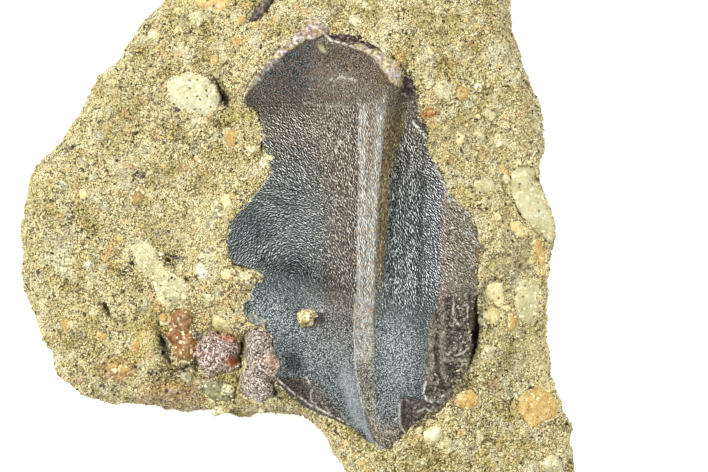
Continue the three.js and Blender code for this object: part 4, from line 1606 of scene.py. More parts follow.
WHITE_QUARTZ = StoneFinish(
    "white_quartz", ((0.0, (214, 207, 154)), (0.5, (236, 231, 186)), (1.0, (249, 247, 224))), patch=0.5,
    grain_share=0.05, speck_share=0.03, roughness=0.45, ragged=0.6, fine=0.15,
)
YELLOW_STONE = StoneFinish(
    "yellow_stone", ((0.0, (206, 187, 124)), (0.5, (222, 206, 148)), (1.0, (232, 221, 178))), patch=0.6,
    grain_share=0.15, ragged=0.3, fine=0.2,
)
HONEY_STONE = replace(
    YELLOW_STONE, name="honey_stone", mottles=((0.0, (216, 190, 122)), (0.5, (229, 205, 140)),
    (1.0, (238, 219, 160))),
)
LEMON_STONE = replace(
    YELLOW_STONE, name="lemon_stone", mottles=((0.0, (222, 204, 142)), (0.5, (238, 224, 168)),
    (1.0, (246, 238, 196))),
)
DULL_YELLOW_STONE = replace(
    YELLOW_STONE, name="dull_yellow_stone", mottles=((0.0, (194, 174, 112)), (0.5, (209, 192, 134)),
    (1.0, (222, 208, 162))),
)
OCHRE_STONE = replace(
    YELLOW_STONE, name="ochre_stone", mottles=((0.0, (138, 108, 54)), (0.5, (166, 132, 72)),
    (1.0, (190, 160, 104))),
)
BUFF_STONE = replace(
    YELLOW_STONE, name="buff_stone", mottles=((0.0, (200, 170, 102)), (0.5, (214, 186, 120)),
    (1.0, (226, 202, 142))),
)
PEARL_STONE = replace(
    WHITE_QUARTZ, name="pearl_stone", mottles=((0.0, (186, 184, 158)), (0.5, (208, 206, 186)),
    (1.0, (226, 225, 212))),
)
GREY_CRUST = replace(
    WHITE_QUARTZ, name="grey_crust", mottles=((0.0, (72, 74, 72)), (0.5, (138, 138, 130)),
    (1.0, (206, 204, 194))), patch=0.3, ragged=1.0, fine=0.5,
)
AMBER_CHERT = StoneFinish(
    "amber_chert", ((0.0, (120, 64, 24)), (0.5, (184, 130, 62)), (1.0, (222, 180, 108))), patch=0.4,
    grain_share=0.05, roughness=0.3,
)
FOSSIL_BONE = StoneFinish(
    "fossil_bone", ((0.0, (36, 28, 25)), (0.5, (72, 58, 51)), (1.0, (144, 128, 112))), patch=0.35,
    grain_share=0.06, roughness=0.4,
)
LOOSE_SAND = StoneFinish(
    "loose_sand", ((0.0, (120, 96, 54)), (0.4, (180, 160, 106)), (0.75, (212, 198, 146)),
    (1.0, (236, 226, 188))), patch=0.3, grain=0.2, grain_share=0.45, speck_share=0.2, depth=0.06,
)
NOTCH_SAND = replace(
    LOOSE_SAND, name="notch_sand", mottles=((0.0, (96, 74, 42)), (0.4, (156, 136, 92)),
    (0.75, (198, 184, 138)), (1.0, (230, 220, 184))), speck_share=0.3, fine=0.5,
)
GREY_CLAST = StoneFinish(
    "grey_clast", ((0.0, (128, 126, 96)), (0.5, (172, 168, 132)), (1.0, (202, 198, 168))), patch=0.4,
    grain_share=0.3,
)
OLIVE_STONE = StoneFinish(
    "olive_stone", ((0.0, (104, 101, 68)), (0.5, (140, 136, 98)), (1.0, (178, 174, 134))), patch=0.5,
    grain_share=0.08, speck=(70, 68, 48), speck_share=0.12, ragged=1.3, fine=0.35,
)


class Surface(Enum):
    """How a pebble's skin is shaped: height in millimetres of its swells, its lumps and its pits."""

    WORN = (0.1, 0.05, 0.03)
    CHIPPED = (0.16, 0.1, 0.06)
    GRAINY = (0.14, 0.08, 0.14)
    NODULAR = (0.3, 0.24, 0.22)


@dataclass
class Pebble:
    """A pebble, nodule or splinter let into the stone, with a broken outline and a nearly flush top."""

    node: str
    slot: str
    finish: Finish
    surface: Surface = Surface.WORN
    proud: float = 0.3
    outline: Line = ()
    second: tuple[Spot, ...] = ()
    humps: tuple[Spot, ...] = ()
    pits: tuple[Spot, ...] = ()
    cell: float = 0.1
    rounding: int = 1
    edge_roll: float = 0.14
    shore: float = 0.2
    skirt: float = 0.35
    uneven: float = 1.4
    lifted: float = 0.0
    buried: float = 1.4
    name: str = ""

    @property
    def piece(self) -> str:
        """Name of the piece: its own, or the node's with dashes."""
        return self.name or self.node.replace("_", "-")

    def sand_level(self, stone: BVHTree, sheet: Sheet) -> Values:
        """Height of the sand across the pebble, drawn smoothly from the stone around it.

        Args:
            stone: the finished stone.
            sheet: the pebble's sheet, skirt included.

        Returns:
            The height at each of the sheet's places.
        """
        ring = sheet.places[sheet.border()]
        heights = np.full(len(ring), -np.inf)
        for number, (x, y) in enumerate(ring):
            hit = plumb(stone, x, y)
            if hit is not None:
                heights[number] = hit.z
        typical = np.median(heights)
        sound = np.abs(heights - typical) < self.uneven
        ring, heights = ring[sound], heights[sound]
        away = np.linalg.norm(sheet.places[:, None] - ring[None], axis=2)
        weight = 1 / (away**2 + 0.02)
        return (weight * heights).sum(1) / weight.sum(1)

    @staticmethod
    def floor(low: float, plan: Points, edge: Values) -> Values:
        """A level underside, whatever the height of the edge."""
        return np.full(len(plan), low)

    def raised(self, bench: Bench, stone: BVHTree, noise: NoiseField) -> Form:
        """Makes a nearly flush pebble that fills its outline, with a skirt of sand around it.

        Args:
            bench: the frame.
            stone: the finished stone.
            noise: its own noise.

        Returns:
            The closed pebble.
        """
        smooth = Outline.evenly(np.array(self.outline), self.cell, 0.16)
        flat = level_with(smooth.corners)
        outline = Outline(smooth.corners + smooth.outwards() * (0.13 * noise.layered(flat, 0.8, 3))[:, None])
        sheet = Sheet(outline, self.cell, self.skirt)
        flat = level_with(sheet.places)
        depth = outline.depth(flat)[0]
        share = np.clip(depth / depth.max(), 0, 1)
        level = self.sand_level(stone, sheet)
        swell, lump, pit = self.surface.value
        top = level + 0.7 * self.edge_roll + self.proud * (1 - (1 - share) ** 2.2)
        top += swell * noise.layered(flat, 1.6, 2) + lump * noise.layered(flat, 0.6)
        near, _gap = noise.cells(flat, 0.36)
        top += pit * (0.45 - near) + 0.6 * spots(flat, self.humps) - 0.5 * spots(flat, self.pits)
        top -= rolled_off(depth, self.edge_roll)
        sand = level + 0.1 * noise.layered(flat + 3, 0.5) + 0.1 * (0.5 - near)
        sand -= 0.3 * ease(0.2 - self.skirt, -self.skirt, depth)
        face = np.column_stack([sheet.places, blend(sand, top, ease(-0.1, 0.5 * self.shore, depth))])
        low = level.min() - self.buried if self.name else bench.box(self.node)[0][2]
        bowl = ((0.99, 0.2), (0.96, 0.45), (0.88, 0.7), (0.74, 0.88), (0.54, 0.97), (0.3, 1.0), (0.1, 1.0))
        floor = partial(self.floor, low)
        form = closed_below(face, sheet, sheet.places.mean(0), floor, noise, bowl)
        inside = np.zeros(len(form.points))
        inside[: len(face)] = np.clip(0.25 + depth / self.shore, 0, 1)
        form.marks = {"inside": inside}
        return form

    def carried(self, bench: Bench, noise: NoiseField) -> Form:
        """Makes a pebble of the frame's own shape, roughened.

        Args:
            bench: the frame.
            noise: its own noise.

        Returns:
            The closed pebble.
        """
        form = bench.form(bench.remeshed(self.node, self.cell, self.rounding))
        low, high = form.points.min(0), form.points.max(0)
        width = float((high - low)[:2].min())
        swell, lump, pit = self.surface.value
        shift = swell * noise.layered(form.points, 0.6 * width, 2)
        shift += lump * noise.layered(form.points, 0.25 * width + 0.1)
        near, _gap = noise.cells(form.points, 0.3)
        shift += pit * (0.4 - near)
        form.points = form.points + form.normals() * (shift - 0.5 * pit)[:, None]
        form.marks = {"inside": np.ones(len(form.points))}
        return form

    def build(self, bench: Bench, stone: BVHTree, shaded: Callable[[Points], Values]) -> Form:
        """Makes the pebble.

        Args:
            bench: the frame.
            stone: the finished stone.
            shaded: how much each place lies in a crevice of the stone.

        Returns:
            Its mesh.
        """
        noise = NoiseField(sum(self.piece.encode()))
        if self.outline:
            form = self.raised(bench, stone, noise)
            crevice = shaded(form.points) * (1 - form.marks["inside"])
            form.points[:, 2] -= 1.2 * crevice
            form.marks["shade"] = ease(0.6, 1.0, crevice)
        else:
            form = self.carried(bench, noise)
            form.points[:, 2] += self.lifted
            form.marks["shade"] = np.zeros(len(form.points))
        form.marks["second"] = spots(form.points, self.second)
        return form


@dataclass
class SmallClasts:
    """Little pebbles of one kind, flush with the stone's skin."""

    name: str
    finish: Finish
    places: tuple[tuple[float, float, float], ...]
    count: int
    seed: int
    smallest: float = 0.4
    largest: float = 1.1

    def build(self, ground: Form, skin: BVHTree) -> Form:
        """Sets the clasts into the stone.

        Args:
            ground: the stone, with its marks.
            skin: its surface.

        Returns:
            All clasts as one mesh.
        """
        rng = np.random.default_rng(self.seed)
        noise = NoiseField(self.seed)
        spread = ease(8.0, 8.5, ground.points[:, 2]) * ground.marks["open"]
        spread *= ease(0.5, 0.7, ground.normals()[:, 2])
        chosen = rng.choice(len(spread), self.count, p=spread / spread.sum())
        sizes = rng.uniform(self.smallest, self.largest, self.count)
        chance = [(*ground.points[n, :2], s) for n, s in zip(chosen, sizes)]
        mesh = bmesh.new()
        bmesh.ops.create_icosphere(mesh, subdivisions=3, radius=0.5)
        ball = np.array([v.co for v in mesh.verts])
        mesh.verts.index_update()
        faces = np.array([[v.index for v in f.verts] for f in mesh.faces])
        mesh.free()
        parts = []
        for x, y, size in (*self.places, *chance):
            aside = 0.3 * size
            around = [(x, y), (x + aside, y), (x - aside, y), (x, y + aside), (x, y - aside)]
            hits = [plumb(skin, *place) for place in around]
            level = np.mean([hit.z for hit in hits if hit is not None])
            turn = rng.uniform(0, math.pi)
            scale = np.array([size * rng.uniform(1.0, 1.35), size * rng.uniform(0.7, 0.95), size * 0.42])
            shape = np.sign(ball) * np.abs(ball * 2) ** 0.8 / 2 * scale
            shape += ball * (0.35 * size * noise.layered(ball * 1.5 + x, 0.7, 2))[:, None]
            turned = np.column_stack([
                shape[:, 0] * math.cos(turn) - shape[:, 1] * math.sin(turn),
                shape[:, 0] * math.sin(turn) + shape[:, 1] * math.cos(turn),
                shape[:, 2],
            ])
            turned += 0.03 * noise.layered(turned + x, 0.15)[:, None]
            place = np.array([x, y, level - 0.04 * size])
            none = np.zeros(len(ball))
            marks = {"second": none, "inside": np.ones(len(ball)), "shade": none}
            parts.append(Form(turned + place, faces, marks))
        return parts[0].joined(parts[1:])


# ---------------------------------------------------------------- the sandstone


@dataclass
class Sandstone:
    """The loose piece of pebbly sandstone that the tooth lies in."""

    voxel: float = 0.58
    seal: float = 0.45
    seal_end: float = 0.85
    swell: float = 0.3
    lump: float = 0.3
    grit: float = 0.2
    grain_relief: float = 0.1
    pit: float = 0.4
    bank: float = 2.2
    bank_reach: float = 5.0
    brim: float = 1.3
    bed: float = 0.7
    clearing: float = 0.5
    spread: float = 1.012
    seed: int = 5
    # Hollows in the skin: they sink it, and where they are deepest they are painted with crevice shade.
    hollows: tuple[Spot, ...] = (
        Spot(-7.15, 7.2, 1.2, 0.25, 80, 0.5), Spot(9.25, -7.3, 2.4, 0.44, 86, 1.0),
        Spot(-10.0, 10.8, 1.4, 0.5, -62, 1.0), Spot(-14.52, -8.5, 1.5, 0.36, -68, 1.0),
        Spot(-8.7, -8.9, 1.3, 0.3, 80, 1.0), Spot(-9.8, -11.7, 1.4, 0.8, 20, 0.6),
        Spot(-6.1, -11.9, 1.0, 0.45, -30, 0.6), Spot(-5.5, -12.5, 1.2, 0.3, -38, 0.45),
        Spot(-13.0, -10.1, 1.3, 0.35, 12, 0.6), Spot(-18.85, -5.7, 0.7, 0.22, -65, 0.9),
        Spot(-13.8, -1.7, 0.8, 0.6, 0, 0.15), Spot(-11.4, -5.6, 1.5, 0.7, 30, 0.4),
        Spot(3.2, 16.6, 0.6, 0.4, 0, 0.3),
    )
    # Painted shade along slits where the stone has come away from the tooth, and in shaded strips beside it.
    slits: tuple[Stroke, ...] = (
        Stroke(((9.3, -4.6), (9.15, -5.6), (9.2, -7.0), (9.25, -8.3), (9.1, -9.3)), 0.5, 0.85),
        Stroke(((9.0, -9.6), (8.4, -10.9), (7.4, -12.3), (6.2, -13.4), (5.0, -14.4)), 0.55, 0.75),
        Stroke(((9.7, -0.9), (10.05, -1.6), (9.85, -2.4)), 0.22, 0.55),
        Stroke(((9.5, -2.6), (9.75, -3.4), (9.4, -4.3)), 0.3, 0.4), Stroke(((-9.7, 0.8), (-9.85, 0.0),
        (-9.8, -0.9), (-9.4, -1.9), (-8.7, -2.45), (-7.7, -2.6)), 0.28, 0.7),
        Stroke(((-12.5, -12.4), (-9.3, -12.6), (-6.0, -12.6)), 1.0, 0.2),
        Stroke(((-6.4, -11.6), (-5.0, -12.3), (-3.6, -13.3)), 0.5, 0.45),
        Stroke(((-8.6, 1.9), (-7.6, 3.2), (-6.6, 4.7)), 0.25, 0.35),
    )
    # Thicker dark specks: clusters of dark mineral grains, and painted shade beside the tooth, the chert,
    # the nodules and the cream pebble.
    stains: tuple[Spot, ...] = (
        Spot(-21.7, 6.8, 0.5, 0.5), Spot(-16.4, 4.7, 0.7, 0.4, 40), Spot(-21.6, 1.5, 0.3, 0.9),
        Spot(-24.6, -2.9, 0.5, 0.4), Spot(-13.8, -1.7, 0.9, 0.7), Spot(-11.4, -1.3, 0.6, 0.4, 30),
        Spot(-17.3, -2.5, 0.5, 0.35), Spot(-9.5, -4.4, 0.6, 0.5), Spot(-9.4, 3.3, 1.0, 0.4),
        Spot(-12.1, -7.7, 0.5, 0.7), Spot(9.6, -7.0, 2.6, 0.5, 88, 0.7),
        Spot(8.5, -10.9, 1.9, 0.45, 58, 1.0), Spot(6.4, -13.6, 1.6, 0.3, 40, 0.8),
        Spot(-13.0, -10.3, 2.2, 0.8, 8, 1.0), Spot(-8.6, -9.4, 1.9, 0.4, 80, 0.8),
        Spot(-10.4, 9.6, 2.6, 0.5, -75, 0.7),
    )
    pale_places: tuple[Spot, ...] = (
        Spot(-11.0, 1.0, 1.6, 1.1, 30, 0.8), Spot(-11.6, -2.8, 1.2, 0.9, 0, 0.8),
        Spot(8.0, 7.6, 1.1, 1.4, 0, 0.7), Spot(-10.1, -6.6, 0.6, 0.4), Spot(6.8, 11.0, 0.7, 0.5, 0, 0.8),
        Spot(9.8, 4.1, 0.7, 0.6, 0, 0.8), Spot(-12.5, 17.0, 0.8, 0.6, 0, 0.8),
        Spot(12.6, 3.0, 3.2, 8.5, 0, 0.35), Spot(-12.0, -1.0, 3.2, 4.0, 0, 0.3),
        Spot(7.6, 7.7, 1.3, 1.5, 0, 0.6), Spot(9.6, -0.5, 0.8, 3.0, 0, 0.3),
        Spot(14.0, -8.6, 1.2, 1.8, 0, 0.9), Spot(11.5, -1.0, 2.0, 2.2, 0, 0.4),
    )
    rusty_places: tuple[Spot, ...] = (
        Spot(-13.8, -12.3, 2.4, 1.4, 0, 0.7), Spot(10.5, -11.2, 0.7, 0.5, 0, 0.8),
        Spot(-10.2, -7.0, 1.0, 0.5, 0, 0.6), Spot(-18.2, -10.2, 1.3, 0.8, 0, 0.8),
        Spot(-14.2, 4.4, 0.8, 0.5, 0, 0.3), Spot(9.85, -1.4, 0.3, 0.7, 0, 0.8),
        Spot(7.9, -12.3, 0.3, 0.5, -35, 0.8),
    )
    yellow_places: tuple[Spot, ...] = (
        Spot(-16.2, -8.2, 1.0, 1.4, 0, 1.0), Spot(14.0, -8.6, 0.9, 1.6, 0, 1.0),
        Spot(7.8, 3.3, 0.8, 0.5, 0, 0.8),
    )
    # Places where the outline swells or draws in: middle, reach, then shift to the east and north.
    nudges: tuple[tuple[float, float, float, float, float], ...] = (
        (-3.6, -14.6, 1.9, 0.3, 0.38), (15.2, 2.8, 3.2, -0.33, 0.0), (12.0, 17.8, 3.5, 0.22, 0.0),
        (13.3, 12.3, 1.8, 0.26, 0.0), (-25.6, -1.5, 3.6, -0.2, 0.0), (15.1, -9.8, 2.2, 0.18, 0.0),
        (-21.3, -12.1, 1.9, -0.12, -0.2), (-24.5, 5.2, 1.3, 0.15, -0.1),
    )

    def banked(self, crown: Outline, tooth: BVHTree, points: Points) -> tuple[Values, Values]:
        """How much the sand is banked up beside the tooth, to lie level with the edge of its face.

        Args:
            crown: the tooth's outline.
            tooth: surface of the tooth.
            points: places on the stone.

        Returns:
            The rise at each place, and the height of the nearest edge of the face.
        """
        inner = (crown.corners - 0.16 * crown.outwards())[::5]
        edge = np.array([tuple(plumb(tooth, x, y)) for x, y in inner])
        beside = -crown.depth(points)[0]
        near = np.flatnonzero((beside < self.bank_reach) & (points[:, 2] > 5))
        level = np.full(len(points), -np.inf)
        for part in np.array_split(near, 1 + len(near) // 20000):
            away = np.linalg.norm(points[part, None, :2] - edge[None, :, :2], axis=2)
            weight = 1 / (away**4 + 0.01)
            level[part] = (weight * edge[:, 2]).sum(1) / weight.sum(1)
        rise = np.where(level > 0, np.clip(level - points[:, 2], -0.4, self.bank), 0)
        return rise * ease(self.bank_reach, 0.4, beside) * ease(-0.8, -0.2, beside), level

    def shaded(self, points: Points) -> Values:
        """How much each place lies in a crevice."""
        fray = 1 + 0.5 * NoiseField(self.seed).layered(points + 70, 0.8)
        return spots(points, self.hollows) * fray

    def roughness(self, points: Points) -> Values:
        """Height of the stone's swells, lumps, grains and pits at places on its skin."""
        noise = NoiseField(self.seed)
        near, _gap = noise.cells(points, 0.42)
        height = self.swell * noise.layered(points, 4.5) + self.lump * noise.layered(points + 50, 1.7)
        height += self.grit * noise.layered(points + 90, 0.7) + self.grain_relief * (0.5 - near)
        cavity, _gap = noise.cells(points + 33, 1.6)
        return height - self.pit * bump(cavity, 0.2) * ease(-0.1, 0.5, noise.smooth(points + 11, 3.0))

    def ground(self, bench: Bench, tooth: BVHTree) -> Form:
        """The frame's stone as small triangles, smallest where the top lies open.

        Args:
            bench: the frame.
            tooth: surface of the tooth.

        Returns:
            The closed stone, not yet roughened.
        """
        mesh = bench.remeshed("sandstone_matrix", self.voxel)
        open_top = []
        walls = []
        for face in mesh.faces:
            middle = Vector(face.calc_center_median() / MM) - Vector(bench.origin)
            if middle.z < 1.0:
                continue
            if face.normal.z > 0.3 and middle.z > 8:
                if tooth.ray_cast(middle, Vector((0, 0, 1)))[0] is None:
                    open_top.append(face)
            elif face.normal.z > -0.3:
                walls.append(face)
        fine = {edge for face in open_top for edge in face.edges}
        coarse = {edge for face in walls for edge in face.edges} - fine
        bmesh.ops.subdivide_edges(mesh, edges=list(coarse), cuts=1, use_grid_fill=True)
        bmesh.ops.subdivide_edges(mesh, edges=[e for e in fine if e.is_valid], cuts=3, use_grid_fill=True)
        return bench.form(mesh)

    def bedded(self, pebbles: Sequence[Pebble], crown: Outline, points: Points, crevice: Values) -> Values:
        """Height of the skin with the pebbles' beds: filled up around them and sunk below them.

        Args:
            pebbles: the pebbles.
            crown: the tooth's outline.
            points: places on the stone's skin.
            crevice: how much each lies in a crevice.

        Returns:
            The new height of each point.
        """
        heights = points[:, 2].copy()
        for pebble in pebbles:
            if not pebble.outline:
                continue
            corners = np.array(pebble.outline)
            reach = np.ptp(corners, axis=0) / 2 + self.bed + 0.8
            close = (np.abs(points[:, :2] - corners.mean(0)) < reach).all(1)
            near = np.flatnonzero(close & (points[:, 2] > 6))
            depth = Outline.evenly(corners, 0.15, 0.16).depth(points[near])[0]
            open_sand = crown.depth(points[near])[0] < -0.12
            near, depth = near[open_sand | (depth > 0)], depth[open_sand | (depth > 0)]
            around = near[(depth < -self.bed) & (points[near, 2] > 8.5)]
            within = depth > -self.bed
            bed, depth = near[within], depth[within]
            if len(around) == 0 or len(bed) == 0:
                continue
            away = np.linalg.norm(points[bed, None, :2] - points[None, around, :2], axis=2)
            weight = 1 / (away**2 + 0.02)
            level = (weight * points[around, 2]).sum(1) / weight.sum(1)
            filled = np.maximum(heights[bed], level - 0.1 - 1.4 * crevice[bed])
            sunk = np.minimum(heights[bed], level - self.clearing * ease(0.0, 0.3, depth))
            filled = np.where(heights[bed] > level - 2.5, filled, heights[bed])
            heights[bed] = np.where(depth < 0, filled, sunk)
        return heights

    def build(self, bench: Bench, crown: Outline, tooth: BVHTree, pebbles: Sequence[Pebble]) -> Form:
        """Makes the stone.

        Args:
            bench: the frame.
            crown: the tooth's outline.
            tooth: surface of the tooth.
            pebbles: the pebbles that lie in it.

        Returns:
            The roughened stone with its stains, tints and painted shade as marks.
        """
        form = self.ground(bench, tooth)
        noise = NoiseField(self.seed)
        p = form.points
        normals = form.normals()
        standing = ease(0.1, 0.9, p[:, 2])
        raised = p + normals * (self.roughness(p) * standing)[:, None]
        upward = ease(0.3, 0.8, normals[:, 2]) * ease(7, 9, p[:, 2])
        crevice = self.shaded(p)
        rise, level = self.banked(crown, tooth, p)
        raised[:, 2] += rise * upward
        raised[:, 2] -= 1.4 * crevice * upward
        for number in np.flatnonzero(p[:, 2] > 5.0):
            place = Vector(raised[number])
            foot, _normal, _face, distance = tooth.find_nearest(place, self.seal_end)
            if foot is None:
                continue
            share = 1 - float(ease(self.seal, self.seal_end, distance))
            share *= 1 - min(1.0, 1.2 * crevice[number])
            raised[number] += share * (np.array(foot) - raised[number]) * 1.05
        level += 0.06 * noise.layered(p, 0.5) - 0.1 - 1.6 * crevice
        inward = crown.depth(raised)[0]
        brim = (inward > -0.42) & (inward < self.brim) & (p[:, 2] > 7.5) & (normals[:, 2] > -0.2)
        for number in np.flatnonzero(brim):
            x, y = raised[number, :2]
            face = plumb(tooth, x, y)
            roof = level[number] if face is None else min(level[number], face.z - 0.12)
            raised[number, 2] = max(raised[number, 2], roof)
        raised[:, 2] = self.bedded(pebbles, crown, raised, crevice)
        form.points = raised * [self.spread, self.spread, 1]
        for x, y, reach, east, north in self.nudges:
            form.points[:, :2] += bump(np.hypot(p[:, 0] - x, p[:, 1] - y), reach)[:, None] * [east, north]
        patchy = noise.layered(p + 20, 2.5)
        high = ease(4.0, 8.0, p[:, 2] + noise.layered(p + 60, 1.5))
        form.marks = {
            # painted shade in crevices also thickens the dark specks
            "dark": np.clip(spots(p, self.stains) + 0.35 * ease(0.45, 0.8, patchy) + 0.3 * crevice, 0, 1),
            "pale": np.clip(spots(p, self.pale_places), 0, 1) * high,
            "rust": np.clip(spots(p, self.rusty_places), 0, 1) * high,
            "yellow": np.clip(spots(p, self.yellow_places), 0, 1) * high,
            "shade": np.maximum(ease(0.6, 1.0, crevice), 0.9 * strokes(p, self.slits)) * high,
        }
        return form

    def open_sky(self, stone: Form, let_in: BVHTree) -> Values:
        """Which of the stone's points lie open: 1 for open, 0 for those under a piece let into it."""
        up = Vector((0, 0, 1))
        return np.array([let_in.ray_cast(Vector(p) + 0.05 * up, up)[0] is None for p in stone.points], float)


@dataclass
class SandGrains:
    """Sand grains that stand out of the stone's skin."""

    count: int
    smallest: float
    largest: float
    seed: int
    wall_share: float = 0.12
    kinds: int = 12

    def shapes(self, rng: np.random.Generator) -> tuple[np.ndarray, Faces]:
        """Angular grain shapes about one unit wide.

        Args:
            rng: the source of chance.

        Returns:
            The corners of each kind and their shared faces.
        """
        axes = np.vstack([np.eye(3), -np.eye(3)]) * 0.55
        shapes = axes + rng.normal(scale=0.1, size=(self.kinds, 6, 3))
        shapes *= rng.uniform(0.7, 1.25, (self.kinds, 1, 3))
        faces = [(0, 1, 2), (1, 3, 2), (3, 4, 2), (4, 0, 2), (1, 0, 5), (3, 1, 5), (4, 3, 5), (0, 4, 5)]
        return shapes, np.array(faces)

    def build(self, ground: Form) -> Form:
        """Strews the grains.

        Args:
            ground: the stone, with its marks.

        Returns:
            All grains as one mesh, each with its tone as a mark.
        """
        rng = np.random.default_rng(self.seed)
        a, b, c = (ground.points[ground.faces[:, corner]] for corner in range(3))
        facing = np.cross(b - a, c - a)
        area = np.linalg.norm(facing, axis=1)
        up = facing[:, 2] / np.maximum(area, 1e-12)
        exposed = ground.marks["open"][ground.faces].min(1)
        height = a[:, 2]
        top = ease(0.15, 0.4, up) * ease(5, 7, height)
        wall = self.wall_share * ease(-0.3, 0.0, up) * ease(1.0, 2.0, height)
        chance = area * exposed * np.maximum(top, wall)
        chosen = rng.choice(len(area), self.count, p=chance / chance.sum())
        mix = rng.dirichlet((1, 1, 1), self.count)
        corners = ground.points[ground.faces[chosen]]
        place = np.einsum("nk,nkd->nd", mix, corners)
        normal = unit(facing[chosen])
        size = rng.uniform(0, 1, self.count) ** 1.6 * (self.largest - self.smallest) + self.smallest
        place += normal * (size * rng.uniform(-0.2, 0.22, self.count))[:, None]
        shapes, faces = self.shapes(rng)
        kind = rng.integers(0, self.kinds, self.count)
        turn = self.turns(rng)
        points = np.einsum("nij,nkj->nki", turn, shapes[kind]) * size[:, None, None] + place[:, None]
        tone = rng.uniform(0, 1, self.count)
        # Grains turn dark where the stone's dark specks thicken, painted shade included.
        dark = ground.marks["dark"][ground.faces[chosen, 0]]
        tone = np.where(rng.uniform(size=self.count) < 0.6 * dark, 0.06 * tone, tone)
        per = shapes.shape[1]
        all_faces = (faces[None] + per * np.arange(self.count)[:, None, None]).reshape(-1, 3)
        marks = {"tone": np.repeat(tone, per)}
        for mark in ("pale", "rust", "yellow", "shade"):
            marks[mark] = np.repeat(ground.marks[mark][ground.faces[chosen, 0]], per)
        return Form(points.reshape(-1, 3), all_faces, marks, soft=False)

    def turns(self, rng: np.random.Generator) -> np.ndarray:
        """Random turns, one for each grain, as matrices."""
        q = rng.normal(size=(self.count, 4))
        w, x, y, z = (q / np.linalg.norm(q, axis=1, keepdims=True)).T
        rows = (
            (1 - 2 * (y * y + z * z), 2 * (x * y - w * z), 2 * (x * z + w * y)),
            (2 * (x * y + w * z), 1 - 2 * (x * x + z * z), 2 * (y * z - w * x)),
            (2 * (x * z - w * y), 2 * (y * z + w * x), 1 - 2 * (x * x + y * y)),
        )
        return np.moveaxis(np.array(rows), -1, 0)


